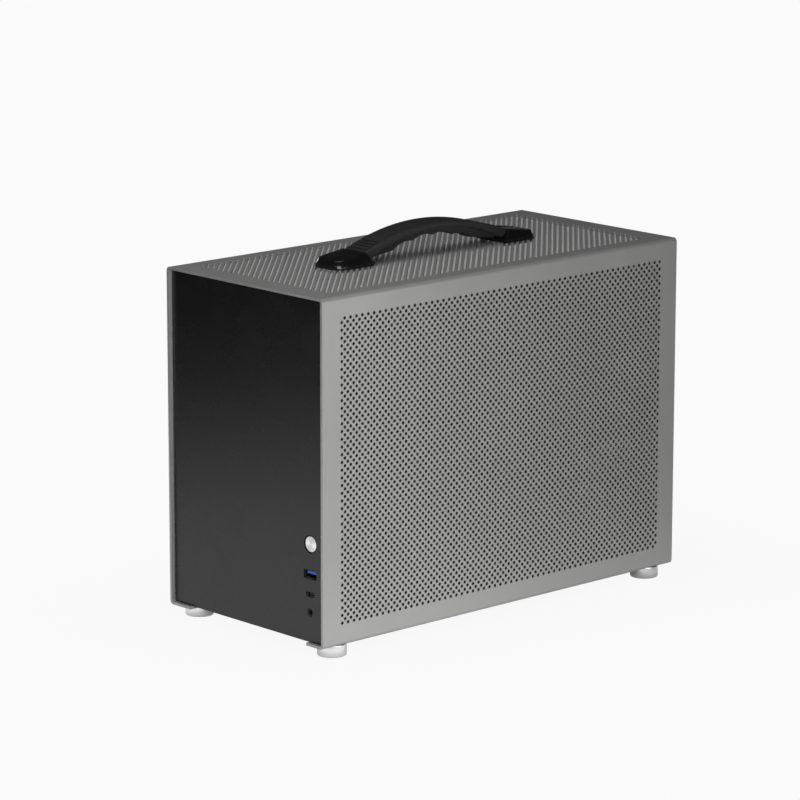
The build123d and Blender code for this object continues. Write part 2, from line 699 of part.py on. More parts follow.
def build_rear_panel():
    panel = pan(REAR_Y, REAR_Y - PAN_DEPTH)
    through = (REAR_INNER - CUT_MARGIN, REAR_Y + CUT_MARGIN)
    io_z = BOARD_Z + IO_CUT_BOTTOM_GAP
    panel -= block((CARD_START - IO_CUT_W, CARD_START), through, (io_z, io_z + IO_CUT_L))
    panel -= block(
        around(INLET_X, INLET_BODY_W / 2 + INLET_CLEARANCE), through,
        around(INLET_Z, INLET_BODY_H / 2 + INLET_CLEARANCE))
    tab_x = CARD_LEDGE - FRAME_T
    passage_x = (tab_x - COVER_T - COVER_PASSAGE_CLEARANCE, tab_x)
    for z in card_heights():
        panel -= block((CARD_LEDGE, CARD_START), through, around(z, CARD_OPENING_W / 2))
        panel -= block(passage_x, through, around(z, COVER_W / 2 + COVER_PASSAGE_CLEARANCE))
    heights = card_heights()
    panel += block(
        (tab_x, CARD_LEDGE), (REAR_INNER, REAR_INNER + LEDGE_DEPTH),
        (heights[0] - COVER_W / 2, heights[-1] + COVER_W / 2))
    for z in heights:
        panel -= rod_x(COVER_SCREW_Y, z, around(tab_x, 2 * FRAME_T), SCREW_ROOM_R)
    panel -= from_front_view(rear_vents(), through)
    for side, x, z in lock_places():
        panel -= rod_y(x, z, through, SCREW_ROOM_R)
    for z in tray_screw_heights():
        panel -= rod_y(TRAY_OUT + TRAY_FLANGE_W / 2, z, through, SCREW_ROOM_R)
    for side in (-1, 1):
        panel -= rod_y(INLET_X, INLET_Z + side * INLET_SCREW_SPAN / 2, through, SCREW_ROOM_R)
    for x, y in pan_screw_places():
        panel -= rod_z(x, y, around(FLOOR_Z, 3 * FRAME_T), SCREW_ROOM_R)
    return panel


def build_slot_cover(z):
    """A vented cover on the inner face of the rear panel, with a tab bent back over the ledge."""
    tab_x = CARD_LEDGE - FRAME_T
    inner_y = REAR_INNER - COVER_T
    z_span = around(z, COVER_W / 2)
    cover = block((tab_x - COVER_T, CARD_START + COVER_FOOT_L), (inner_y, REAR_INNER), z_span)
    cover += block((tab_x - COVER_T, tab_x), (inner_y, REAR_INNER + COVER_TAB_L), z_span)
    middle = (CARD_START + CARD_LEDGE) / 2
    count = max(1, int(CARD_OPENING_L / COVER_VENT_PITCH))
    vents = Sketch() + [
        Pos(middle + (k - (count - 1) / 2) * COVER_VENT_PITCH, z + row * COVER_VENT_ROW_PITCH / 2)
        * SlotOverall(COVER_VENT_L, COVER_VENT_W)
        for k in range(count) for row in (-1, 1)]
    cover -= from_front_view(vents, (inner_y - CUT_MARGIN, REAR_INNER + CUT_MARGIN))
    return cover - rod_x(COVER_SCREW_Y, z, around(tab_x, 2 * COVER_T), SCREW_ROOM_R)


def small_screw(length):
    """A small screw along +Z. Its head sits on z = 0 and its shank goes down."""
    head = rod_z(0, 0, (0, SMALL_HEAD_H), SMALL_HEAD_D / 2)
    head = fillet(head.edges().group_by(Axis.Z)[-1], SMALL_HEAD_EDGE_R)
    for angle in (0, 90):
        head -= Rot(0, 0, angle) * Pos(0, 0, SMALL_HEAD_H) * Box(DRIVE_L, DRIVE_W, 2 * DRIVE_DEPTH)
    return head + rod_z(0, 0, (-length, 0), SMALL_SCREW_D / 2)


def build_cover_screws():
    screw = Rot(0, -90, 0) * small_screw(COVER_T + 2 * FRAME_T)
    return [Pos(CARD_LEDGE - FRAME_T - COVER_T, COVER_SCREW_Y, z) * screw for z in card_heights()]


def build_pan_screws():
    screw = Rot(180, 0, 0) * small_screw(3 * FRAME_T)
    return [Pos(x, y, FLOOR_Z) * screw for x, y in pan_screw_places()]


def build_tray_screws():
    """Screws from behind into the rear flange, and from inside into the base plate."""
    behind = Rot(-90, 0, 0) * small_screw(3 * FRAME_T)
    x = TRAY_OUT + TRAY_FLANGE_W / 2
    screws = [Pos(x, REAR_Y, z) * behind for z in tray_screw_heights()]
    down = small_screw(2 * FRAME_T)
    return screws + [Pos(x, y, BASE_TOP + FRAME_T) * down for x, y in foot_screw_spots()[:3]]


def build_bracket_screws():
    """Screws through the tray and down into the base plate that hold the supply bracket."""
    along = Rot(0, 90, 0) * small_screw(2.5 * FRAME_T)
    y_side = PSU_PLATE_Y + PSU_FOOT_L * LEDGE_SCREW_PART
    screws = [Pos(TRAY_OUT, y_side, z) * along for z in bracket_screw_heights()]
    down = small_screw(2 * FRAME_T)
    return screws + [Pos(x, y, BASE_TOP + FRAME_T) * down for x, y in foot_screw_spots()[3:]]


def standoff_places():
    """Board hole places as pairs of y and z: rear pair, then front pair."""
    rear_y = BOARD_REAR - BOARD_HOLE_EDGE
    front_y = rear_y - BOARD_HOLE_SPAN
    low_z = BOARD_Z + BOARD_HOLE_EDGE
    return [
        (rear_y, low_z), (rear_y, low_z + BOARD_REAR_SPAN),
        (front_y, low_z), (front_y, low_z + BOARD_FRONT_SPAN)]


def build_tray():
    """The upright sheet that carries the board, flanged at its front, rear and bottom edges."""
    y_span = (PANEL_BACK, REAR_INNER)
    z_span = (BASE_TOP, FRAME_TOP - FRAME_T - TRAY_TOP_GAP)
    flange_x = (TRAY_IN, TRAY_OUT + TRAY_FLANGE_W)
    tray = block((TRAY_IN, TRAY_OUT), y_span, z_span)
    tray += block(flange_x, (PANEL_BACK, PANEL_BACK + FRAME_T), z_span)
    tray += block(flange_x, (REAR_INNER - FRAME_T, REAR_INNER), z_span)
    tray += block((TRAY_IN, TRAY_OUT + TRAY_FLANGE_W - FRAME_T), y_span, (BASE_TOP, BASE_TOP + FRAME_T))
    tray -= block(
        (TRAY_IN - CUT_MARGIN, HALF_W), (PANEL_BACK - CUT_MARGIN, PANEL_BACK + TRAY_CORNER_L),
        (BASE_Z, BUTTON_Z + TRAY_CORNER_RISE))
    lip_x = BASE_X - FRAME_T - BASE_SIDE_CLEARANCE
    window_low = BASE_TOP + BASE_LIP_H
    tray -= block((lip_x, HALF_W), (PANEL_Y, REAR_Y), (BASE_Z, window_low + BASE_SIDE_CLEARANCE))
    web_x = (TRAY_IN - CUT_MARGIN, TRAY_OUT + CUT_MARGIN)
    window_rear = REAR_INNER - TRAY_WINDOW_REAR_BORDER
    post_y, post_z = standoff_places()[0]
    tray -= block(
        web_x, (window_rear - TRAY_WINDOW_L, post_y - STANDOFF_AF), (window_low, window_low + TRAY_WINDOW_H))
    tray -= block(web_x, (window_rear - TRAY_WINDOW_L, window_rear), (window_low, post_z - STANDOFF_AF))
    for y, z in standoff_places():
        tray -= rod_x(y, z, web_x, STANDOFF_BORE_D / 2 + THREAD_CLEARANCE)
    for z in tray_screw_heights():
        tray -= rod_y(TRAY_OUT + TRAY_FLANGE_W / 2, z, around(REAR_INNER, 3 * FRAME_T), SCREW_ROOM_R)
    for side, x, z in lock_places():
        tray -= rod_y(x, z, around(REAR_INNER, 3 * FRAME_T), SCREW_ROOM_R)
    for z in bracket_screw_heights():
        tray -= rod_x(PSU_PLATE_Y + PSU_FOOT_L * LEDGE_SCREW_PART, z, web_x, SCREW_ROOM_R)
    return cut_foot_screws(tray)


def build_standoffs():
    """Hexagonal standoffs with a tapped bore and a spigot in the tray."""
    posts = []
    for y, z in standoff_places():
        hexagon = Pos(BOARD_X, y, z) * Rot(0, 90, 0) * extrude(
            RegularPolygon(STANDOFF_AF / 2, 6, major_radius=False), STANDOFF_H)
        spigot = rod_x(y, z, (TRAY_IN, TRAY_OUT), STANDOFF_BORE_D / 2)
        bore = rod_x(y, z, (BOARD_X - CUT_MARGIN, TRAY_IN - CUT_MARGIN), STANDOFF_BORE_D / 2)
        posts.append(hexagon + spigot - bore)
    return posts


def psu_middle():
    """Middle of the power supply's face, as x and z."""
    top = FRAME_TOP - PSU_BRACKET_TOP_GAP
    return (TRAY_IN - PSU_PLATE_X) / 2 + PSU_SIDE_GAP, top - PSU_TOP_RIM - PSU_H / 2


def build_psu_bracket():
    """An upright plate across the case with the power supply's opening, footed on the tray and base."""
    top = FRAME_TOP - PSU_BRACKET_TOP_GAP
    mid_x, mid_z = psu_middle()
    plate_y = (PSU_PLATE_Y, PSU_PLATE_Y + FRAME_T)
    foot_y = (PSU_PLATE_Y, PSU_PLATE_Y + PSU_FOOT_L)
    across = (-PSU_PLATE_X, TRAY_IN)
    plate = block(across, plate_y, (BASE_TOP, top))
    plate += block((TRAY_IN - FRAME_T, TRAY_IN), foot_y, (BASE_TOP, top))
    plate += block(across, foot_y, (BASE_TOP, BASE_TOP + FRAME_T))
    through = (PSU_PLATE_Y - CUT_MARGIN, PSU_PLATE_Y + FRAME_T + CUT_MARGIN)
    plate -= block(
        around(mid_x, PSU_W / 2 - PSU_SIDE_RIM), through, around(mid_z, PSU_H / 2 - PSU_LOW_RIM))
    plate -= block(
        (-PSU_PLATE_X + PSU_SIDE_RIM, TRAY_IN - PSU_SIDE_RIM), through,
        (BASE_TOP + PSU_FOOT_L, mid_z - PSU_H / 2 - PSU_SIDE_RIM))
    for x in around(mid_x, PSU_HOLE_SPAN_W / 2):
        for z in around(mid_z, PSU_HOLE_SPAN_H / 2):
            plate -= rod_y(x, z, through, PSU_HOLE_D / 2)
    for z in bracket_screw_heights():
        plate -= rod_x(
            PSU_PLATE_Y + PSU_FOOT_L * LEDGE_SCREW_PART, z, around(TRAY_IN, 2 * FRAME_T), SCREW_ROOM_R)
    return cut_foot_screws(plate)


def build_button():
    """A turned disc on a stem. A groove in the stem takes the clip."""
    back = BUTTON_FACE + BUTTON_T
    disc = rod_y(PORT_X, BUTTON_Z, (BUTTON_FACE, back), BUTTON_D / 2)
    disc = chamfer(disc.edges().group_by(Axis.Y)[0], BUTTON_EDGE)
    stem = rod_y(PORT_X, BUTTON_Z, (back, back + BUTTON_STEM_L), BUTTON_STEM_D / 2)
    groove = rod_y(PORT_X, BUTTON_Z, clip_span(), BUTTON_STEM_D)
    groove -= rod_y(PORT_X, BUTTON_Z, clip_span(), BUTTON_STEM_D / 2 - CLIP_GROOVE_DEPTH)
    return disc + stem - groove


def clip_span():
    start = BARREL_WALL_Y + BARREL_WALL + THREAD_CLEARANCE
    return (start, start + CLIP_T)


def build_button_clip():
    """The ring behind the holder's wall that keeps the button in."""
    ring = rod_y(PORT_X, BUTTON_Z, clip_span(), CLIP_D / 2)
    return ring - rod_y(PORT_X, BUTTON_Z, clip_span(), BUTTON_STEM_D / 2 - CLIP_GROOVE_DEPTH)


def holder_screw_places():
    """Places of the holder's ear screws as pairs of y and z."""
    y = PANEL_BACK + HOLDER_SCREW_SETBACK
    return [(y, JACK_Z), (y, (USB_A_Z + BUTTON_Z) / 2)]


def build_port_holder():
    """Moulded holder behind the front panel: plate, button barrel, two posts and a screwed ear."""
    plate_y = (PANEL_BACK, PANEL_BACK + HOLDER_T)
    z_span = (JACK_Z - JACK_D, BUTTON_Z + BARREL_D / 2 + HOLDER_T)
    ear_x = FRAME_X - FRAME_T - HOLDER_EAR_T
    left = PORT_X - HOLDER_POST_INSET - HOLDER_POST_D / 2
    holder = block((left, ear_x + HOLDER_EAR_T), plate_y, z_span)
    holder += block((ear_x, ear_x + HOLDER_EAR_T), (PANEL_BACK, PANEL_BACK + HOLDER_EAR_L), z_span)
    holder += rod_y(PORT_X, BUTTON_Z, (PANEL_BACK, PANEL_BACK + BARREL_L), BARREL_D / 2)
    for z in (JACK_Z, USB_A_Z):
        holder += rod_y(PORT_X - HOLDER_POST_INSET, z, (PANEL_BACK, PORT_BACK), HOLDER_POST_D / 2)
    back_wall = PANEL_BACK + BARREL_L - BARREL_WALL
    holder -= rod_y(PORT_X, BUTTON_Z, (PANEL_BACK - CUT_MARGIN, BARREL_WALL_Y), BUTTON_HOLE_D / 2)
    holder -= rod_y(PORT_X, BUTTON_Z, (BARREL_WALL_Y + BARREL_WALL, back_wall), BUTTON_HOLE_D / 2)
    holder -= rod_y(
        PORT_X, BUTTON_Z, (PANEL_BACK, back_wall), BUTTON_STEM_D / 2 + RUNNING_CLEARANCE)
    room = around(PANEL_BACK, 2 * HOLDER_T)
    holder -= block(around(PORT_X, USB_A_W / 2), room, around(USB_A_Z, USB_A_T / 2))
    holder -= from_front_view(Pos(PORT_X, USB_C_Z) * SlotOverall(USB_C_W, USB_C_T), room)
    holder -= block(
        around(PORT_X, JACK_BODY_W / 2 + PORT_CLEARANCE), room, around(JACK_Z, JACK_BODY_W / 2 + PORT_CLEARANCE))
    for z in (JACK_Z, USB_A_Z):
        holder -= rod_y(
            PORT_X - HOLDER_POST_INSET, z, (PORT_BACK - HOLDER_POST_D, PORT_BACK + CUT_MARGIN), SCREW_ROOM_R)
    for y, z in holder_screw_places():
        holder -= rod_x(y, z, around(ear_x, 2 * HOLDER_EAR_T), SCREW_ROOM_R)
    return holder


def build_holder_screws():
    screw = Rot(0, -90, 0) * small_screw(HOLDER_EAR_T + FRAME_T)
    return [Pos(FRAME_X - FRAME_T - HOLDER_EAR_T, y, z) * screw for y, z in holder_screw_places()]


def build_io_board():
    """The circuit board that carries the ports, upright behind the front panel."""
    board = block(
        (PORT_X - HOLDER_POST_INSET - IO_BOARD_MARGIN, PORT_X + USB_A_W / 2 + CUT_MARGIN),
        (PORT_BACK, PORT_BACK + IO_BOARD_T), (JACK_Z - IO_BOARD_MARGIN, USB_A_Z + IO_BOARD_MARGIN))
    for z in (JACK_Z, USB_A_Z):
        board -= rod_y(PORT_X - HOLDER_POST_INSET, z, around(PORT_BACK, 2 * IO_BOARD_T), SCREW_ROOM_R)
    return board


def build_io_board_screws():
    screw = Rot(-90, 0, 0) * small_screw(IO_BOARD_T + SMALL_SCREW_D)
    return [Pos(PORT_X - HOLDER_POST_INSET, PORT_BACK + IO_BOARD_T, z) * screw for z in (JACK_Z, USB_A_Z)]


def port_shell(outline, z):
    """A thin metal shell of one port, open at the front. outline gives its view at a given inset."""
    outer = from_front_view(Pos(PORT_X, z) * outline(PORT_CLEARANCE), (PANEL_BACK, PORT_BACK))
    room = (PANEL_BACK - CUT_MARGIN, PORT_BACK - PORT_SHELL_T)
    return outer - from_front_view(Pos(PORT_X, z) * outline(PORT_CLEARANCE + PORT_SHELL_T), room)


def usb_a_outline(inset):
    return Rectangle(USB_A_W - 2 * inset, USB_A_T - 2 * inset)


def usb_c_outline(inset):
    return SlotOverall(USB_C_W - 2 * inset, USB_C_T - 2 * inset)


def port_tongue(port_w, inset, thickness, z):
    half = port_w / 2 - PORT_CLEARANCE - PORT_SHELL_T - inset
    return block(
        around(PORT_X, half), (PANEL_BACK + TONGUE_SETBACK, PORT_BACK - PORT_SHELL_T), around(z, thickness / 2))


def build_audio_jack():
    """A jack socket: square body, round collar through the panel, open bore."""
    jack = block(around(PORT_X, JACK_BODY_W / 2), (PANEL_BACK, PORT_BACK), around(JACK_Z, JACK_BODY_W / 2))
    front = PANEL_Y + JACK_SUNK
    jack += rod_y(PORT_X, JACK_Z, (front, PORT_BACK), JACK_D / 2)
    return jack - rod_y(PORT_X, JACK_Z, (front - CUT_MARGIN, front + JACK_BORE_L), JACK_BORE_D / 2)


def build_inlet():
    """Mains inlet: flange on the rear panel's outer face, body through it, hollow from behind."""
    face_y = REAR_Y + INLET_FLANGE_T
    inner_y = REAR_Y - INLET_BODY_L
    inlet = block(
        around(INLET_X, INLET_FLANGE_W / 2), (REAR_Y, face_y), around(INLET_Z, INLET_FLANGE_H / 2))
    inlet += block(
        around(INLET_X, INLET_BODY_W / 2), (inner_y, REAR_Y), around(INLET_Z, INLET_BODY_H / 2))
    mouth = Pos(INLET_X, INLET_Z) * Rectangle(INLET_BODY_W - 2 * INLET_WALL, INLET_BODY_H - 2 * INLET_WALL)
    mouth = chamfer(mouth.vertices().group_by(Axis.X)[-1], INLET_CORNER)
    inlet -= from_front_view(mouth, (inner_y + INLET_WALL, face_y + CUT_MARGIN))
    for side in (-1, 1):
        inlet -= rod_y(INLET_X, INLET_Z + side * INLET_SCREW_SPAN / 2, around(REAR_Y, INLET_BODY_L), SCREW_ROOM_R)
    return inlet


def build_inlet_pins():
    start = REAR_Y - INLET_BODY_L + INLET_WALL
    places = [
        (INLET_X - INLET_EARTH_OFFSET / 2, INLET_Z - INLET_PIN_SPAN / 2),
        (INLET_X - INLET_EARTH_OFFSET / 2, INLET_Z + INLET_PIN_SPAN / 2),
        (INLET_X + INLET_EARTH_OFFSET / 2, INLET_Z)]
    return [
        block(around(x, INLET_PIN_T / 2), (start, start + INLET_PIN_L), around(z, INLET_PIN_W / 2))
        for x, z in places]


def build_inlet_screws():
    screw = Rot(-90, 0, 0) * small_screw(INLET_FLANGE_T + 2 * FRAME_T)
    return [
        Pos(INLET_X, REAR_Y + INLET_FLANGE_T, INLET_Z + side * INLET_SCREW_SPAN / 2) * screw for side in (-1, 1)]


save("sleeve", build_sleeve())
for name, (x, y) in zip(("front_left", "front_right", "rear_left", "rear_right"), foot_places()):
    save(f"foot_{name}", build_foot(x, y))
    save(f"foot_pad_{name}", rod_z(x, y, (0, PAD_T), PAD_D / 2))
save("foot_screws", build_foot_screws())
front_cap = build_front_cap()
save("handle_grip", build_grip())
save("handle_cap_front", front_cap)
save("handle_cap_rear", mirror(front_cap, Plane.XZ))
save("handle_screws", build_handle_screws())
for name, place in zip(("left_low", "left_high", "right_low", "right_high"), lock_places()):
    save(f"lock_bracket_{name}", build_lock_bracket(*place))
save("lock_screws", [build_lock_screw(x, z) for side, x, z in lock_places()])

save("front_panel", build_front_panel())
save("base_plate", build_base_plate())
save("rear_panel", build_rear_panel())
save("pan_screws", build_pan_screws())
for name, z in zip(("low", "middle", "high"), card_heights()):
    save(f"slot_cover_{name}", build_slot_cover(z))
save("slot_cover_screws", build_cover_screws())
save("board_tray", build_tray())
save("tray_screws", build_tray_screws())
save("board_standoffs", build_standoffs())
save("psu_bracket", build_psu_bracket())
save("psu_bracket_screws", build_bracket_screws())
save("mains_inlet", build_inlet())
save("inlet_pins", build_inlet_pins())
save("inlet_screws", build_inlet_screws())

save("port_holder", build_port_holder())
save("holder_screws", build_holder_screws())
save("io_board", build_io_board())
save("io_board_screws", build_io_board_screws())
save("usb_a_shell", port_shell(usb_a_outline, USB_A_Z))
save("usb_a_tongue", port_tongue(USB_A_W, USB_A_TONGUE_INSET, USB_A_TONGUE_T, USB_A_Z + USB_A_TONGUE_RISE))
save("usb_c_shell", port_shell(usb_c_outline, USB_C_Z))
save("usb_c_tongue", port_tongue(USB_C_W, USB_C_TONGUE_INSET, USB_C_TONGUE_T, USB_C_Z))
save("audio_jack", build_audio_jack())

save("power_button", build_button())
save("button_clip", build_button_clip())
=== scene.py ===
# %% [markdown]
# # A small tower computer case with a carrying handle
#
# The case is one bent aluminium sheet with perforated sides and a slotted top. A black front panel sits
# just inside its mouth, a plastic handle arches over it, and four turned feet carry it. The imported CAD
# model is the fixed frame. Every piece made here sits exactly where the CAD says and rides on a body of it.

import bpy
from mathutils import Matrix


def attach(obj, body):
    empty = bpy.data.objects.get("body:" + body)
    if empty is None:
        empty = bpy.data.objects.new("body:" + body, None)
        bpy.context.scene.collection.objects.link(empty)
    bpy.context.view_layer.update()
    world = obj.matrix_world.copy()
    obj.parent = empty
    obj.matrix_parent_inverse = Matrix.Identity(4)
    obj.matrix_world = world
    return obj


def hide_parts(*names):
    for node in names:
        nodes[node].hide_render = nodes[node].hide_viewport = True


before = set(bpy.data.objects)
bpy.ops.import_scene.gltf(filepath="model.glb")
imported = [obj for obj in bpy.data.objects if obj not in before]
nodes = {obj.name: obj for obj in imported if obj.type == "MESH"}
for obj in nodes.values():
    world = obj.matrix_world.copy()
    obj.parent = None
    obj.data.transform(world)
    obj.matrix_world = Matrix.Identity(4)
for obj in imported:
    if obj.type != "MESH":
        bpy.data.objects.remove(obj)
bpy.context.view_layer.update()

# %% Tools of this lesson
import math

import bpy
from mathutils import Matrix, Vector, geometry

MM = 0.001


def link_object(thing):
    bpy.context.scene.collection.objects.link(thing)
    return thing


# %% [markdown]
# ## The camera
#
# The photograph was taken with a long lens from the front right, a little above the case. Its place was
# worked out from the sleeve's corners: an aim point, two angles, a distance and a focal length. A long
# lens far away keeps the case's upright edges almost parallel, as they are in the photograph.

# %% Camera
AIM = Vector((-27.92, 0.0, 140.83)) * MM
AZIMUTH = math.radians(47.261)
ELEVATION = math.radians(12.542)
ROLL = math.radians(0.066)
CAMERA_DISTANCE = 2.9075
LENS = 180.24

back = Vector((
    math.sin(AZIMUTH) * math.cos(ELEVATION),
    -math.cos(AZIMUTH) * math.cos(ELEVATION),
    math.sin(ELEVATION)))
camera_data = bpy.data.cameras.new("camera")
camera_data.lens = LENS
camera = link_object(bpy.data.objects.new("camera", camera_data))
turn = back.to_track_quat("Z", "Y").to_matrix() @ Matrix.Rotation(ROLL, 3, "Z")
camera.matrix_world = Matrix.Translation(AIM + back * CAMERA_DISTANCE) @ turn.to_4x4()
bpy.context.scene.camera = camera
bpy.context.scene.view_settings.view_transform = "Standard"
print("camera at", [round(c, 3) for c in camera.location])

# %% [markdown]
# ## A small kit for nodes
#
# Floor, room, shared effects and finishes are all trees of shader nodes. One class holds the few steps
# that they repeat: add a node, join or set its inputs, and do a little arithmetic.


class Kit:
    """Short ways to add and join the nodes of one tree. Each gives the outputs, or the output, it made."""

    def __init__(self, tree):
        self.tree = tree
        tree.nodes.clear()

    def node(self, kind, settings=None, **sources):
        """Settings are a node's properties. Sources are its inputs by name, or _0, _1 by number.

        A source that is a socket is joined, and any other value is set.
        """
        made = self.tree.nodes.new("ShaderNode" + kind)
        for label, value in (settings or {}).items():
            setattr(made, label, value)
        for label, source in sources.items():
            target = made.inputs[int(label[1:]) if label[0] == "_" else label.replace("_", " ")]
            if isinstance(source, bpy.types.NodeSocket):
                self.tree.links.new(source, target)
            else:
                target.default_value = source
        return made.outputs

    def place(self):
        return self.node("TexCoord")["Object"]

    def math(self, operation, a, b=0.0):
        return self.node("Math", {"operation": operation}, _0=a, _1=b)[0]

    def vector(self, operation, a, b=(0.0, 0.0, 0.0)):
        outputs = self.node("VectorMath", {"operation": operation}, _0=a, _1=b)
        return outputs["Value" if operation in ("LENGTH", "DISTANCE") else "Vector"]

    def spread(self, value, low, high, to_low=0.0, to_high=1.0):
        """Maps low..high onto another span and stops at its ends."""
        return self.node(
            "MapRange", Value=value, From_Min=low, From_Max=high, To_Min=to_low, To_Max=to_high)[0]

    def noise(self, place, scale, detail, roughness=0.5):
        return self.node("TexNoise", Vector=place, Scale=scale, Detail=detail, Roughness=roughness)[0]

    def ramp(self, source, stops):
        """A grey ramp from pairs of place and tone."""
        colour = self.node("ValToRGB", _0=source)[0]
        elements = colour.node.color_ramp.elements
        for element, (position, tone) in zip(elements, (stops[0], stops[-1])):
            element.position, element.color = position, grey(tone)
        for position, tone in stops[1:-1]:
            elements.new(position).color = grey(tone)
        return colour


def grey(value, tint=(1.0, 1.0, 1.0)):
    return (*(value * t for t in tint), 1.0)


# %% [markdown]
# ## The studio
#
# The case stands on a white table in a darkened room. The metal and the gloss of the panel mirror that
# table, and what they mirror is a painted pool of light: a glow that is bright near the case and falls off
# to dark about a metre away, which is why the black panel goes from grey at its foot to black at its top.
# Under the case a painted shadow dims that glow, and the feet show it as darker bands. The camera sees the
# ground at the even near white of the backdrop. Round the case a share of true shading is mixed in, so a
# soft shadow stays.

# %% The tone of the ground
BACKDROP = grey(0.958)
FLOOR_MATTE = grey(0.86)
FLOOR_HALF = 14.0
SHADOW_SHARE, SHADOW_REACH = 0.035, 0.30
# Painted pool of light: the glow that mirrors see, bright near the case and dark a metre away.
POOL_CENTRE, POOL_REACH = (0.0, -0.33, 0.0), 1.3
POOL_STOPS = (
    (0.0, 0.90), (0.20, 0.88), (0.31, 0.68), (0.47, 0.32), (0.64, 0.08), (0.80, 0.02), (1.0, 0.0))
# Painted shadow: under the case the glow that mirrors see is dimmed.
PAINTED_SHADE_HALF = (0.060, 0.150, 1.0)
PAINTED_SHADE_EDGE, PAINTED_SHADE_TONE = 0.045, 0.25

# %% Floor


def make_floor():
    """Near white to the camera, a painted pool of light with a painted shadow under the case to mirrors and
    glass, plain pale to all other rays.
    """
    mesh = bpy.data.meshes.new("floor")
    corners = [(x * FLOOR_HALF, y * FLOOR_HALF, 0.0) for x, y in ((-1, -1), (1, -1), (1, 1), (-1, 1))]
    mesh.from_pydata(corners, [], [(0, 1, 2, 3)])
    floor = link_object(bpy.data.objects.new("floor", mesh))
    paint = bpy.data.materials.new("studio_floor")
    paint.use_nodes = True
    kit = Kit(paint.node_tree)
    rays = kit.node("LightPath")
    away = kit.vector("DISTANCE", kit.place(), POOL_CENTRE)
    past = kit.vector("SUBTRACT", kit.vector("ABSOLUTE", kit.place()), PAINTED_SHADE_HALF)
    beyond = kit.vector("LENGTH", kit.vector("MAXIMUM", past))
    # The painted pool of light, dimmed under the case by the painted shadow.
    painted_pool = kit.node(
        "Emission", Color=kit.ramp(kit.math("DIVIDE", away, POOL_REACH), POOL_STOPS),
        Strength=kit.spread(beyond, 0.0, PAINTED_SHADE_EDGE, PAINTED_SHADE_TONE))
    matte = kit.node("BsdfDiffuse", Color=FLOOR_MATTE)
    mirrored = kit.math("MAXIMUM", rays["Is Glossy Ray"], rays["Is Transmission Ray"])
    to_mirrors = kit.node("MixShader", _0=mirrored, _1=matte[0], _2=painted_pool[0])
    even = kit.spread(beyond, 0.0, SHADOW_REACH, 1.0 - SHADOW_SHARE)
    seen = kit.math("MULTIPLY", rays["Is Camera Ray"], even)
    plain = kit.node("Emission", Color=BACKDROP)
    to_camera = kit.node("MixShader", _0=seen, _1=to_mirrors[0], _2=plain[0])
    kit.node("OutputMaterial", Surface=to_camera[0])
    mesh.materials.append(paint)


# %% Room
ROOM_STOPS = ((0.0, 0.12), (0.05, 0.12), (0.09, 0.03), (0.35, 0.02), (1.0, 0.04))


def make_room():
    """The backdrop to the camera. To all else a dark room with a paler strip along the horizon."""
    world = bpy.data.worlds.new("room")
    bpy.context.scene.world = world
    world.use_nodes = True
    kit = Kit(world.node_tree)
    height = kit.node("SeparateXYZ", _0=kit.node("TexCoord")["Generated"])["Z"]
    room = kit.node("Background", Color=kit.ramp(height, ROOM_STOPS))
    plain = kit.node("Background", Color=BACKDROP)
    blend = kit.node("MixShader", _0=kit.node("LightPath")["Is Camera Ray"], _1=room[0], _2=plain[0])
    kit.node("OutputWorld", Surface=blend[0])


make_floor()
make_room()

# %% Lamps, each with its place, the point it aims at, its two sides and its watts
LAMPS = {
    "key_softbox": ((0.68, -0.76, 0.52), (0.0, 0.0, 0.15), (0.6, 0.6), 6.0),
    "front_right_softbox": ((0.62, -0.30, 0.15), (0.08, -0.05, 0.12), (0.5, 0.22), 0.7),
    "right_softbox": ((0.90, 0.10, 0.15), (0.0, 0.0, 0.12), (0.6, 0.24), 1.5),
    "overhead_softbox": ((0.05, -0.30, 1.10), (0.0, 0.0, 0.12), (0.8, 0.8), 3.5),
    "left_softbox": ((-1.50, 0.50, 0.13), (0.0, 0.0, 0.12), (0.8, 0.22), 5.0),
    "rear_softbox": ((-0.20, 1.60, 0.13), (0.0, 0.0, 0.12), (0.8, 0.22), 2.6),
}


def make_lamp(name, place, aim, size, watts):
    data = bpy.data.lights.new(name, "AREA")
    data.shape = "RECTANGLE"
    data.size, data.size_y = size
    data.energy = watts
    lamp = link_object(bpy.data.objects.new(name, data))
    lamp.location = place
    lamp.rotation_euler = (Vector(place) - Vector(aim)).to_track_quat("Z", "Y").to_euler()


for lamp_name, values in LAMPS.items():
    make_lamp(lamp_name, *values)
print("lamps", len(LAMPS))

# %% [markdown]
# ## Shared surface effects
#
# Each effect that more than one finish needs is a node group, built once: blasted grain, long rolling
# marks, rings left by a lathe, moulding grain, and the uneven dulling that hands and dust leave. A
# group only puts out numbers. The material decides what they do to colour, gloss and bump.

# %% Node groups


class Group(Kit):
    """A node group. Its inputs come with the value they start from, and its outputs are numbers."""

    def __init__(self, name, outputs, **inputs):
        super().__init__(bpy.data.node_groups.new(name, "ShaderNodeTree"))
        sockets = self.tree.interface
        for label, value in inputs.items():
            kind = "NodeSocketVector" if isinstance(value, tuple) else "NodeSocketFloat"
            made = sockets.new_socket(label.replace("_", " "), in_out="INPUT", socket_type=kind)
            made.default_value = value
        for label in outputs:
            sockets.new_socket(label, in_out="OUTPUT", socket_type="NodeSocketFloat")
        self.ins = self.tree.nodes.new("NodeGroupInput").outputs
        self.outs = self.tree.nodes.new("NodeGroupOutput").inputs

    def out(self, **sources):
        for label, source in sources.items():
            self.tree.links.new(source, self.outs[label])
        return self.tree


# %% Blasted grain, from glass beads thrown at the sheet before it was anodised


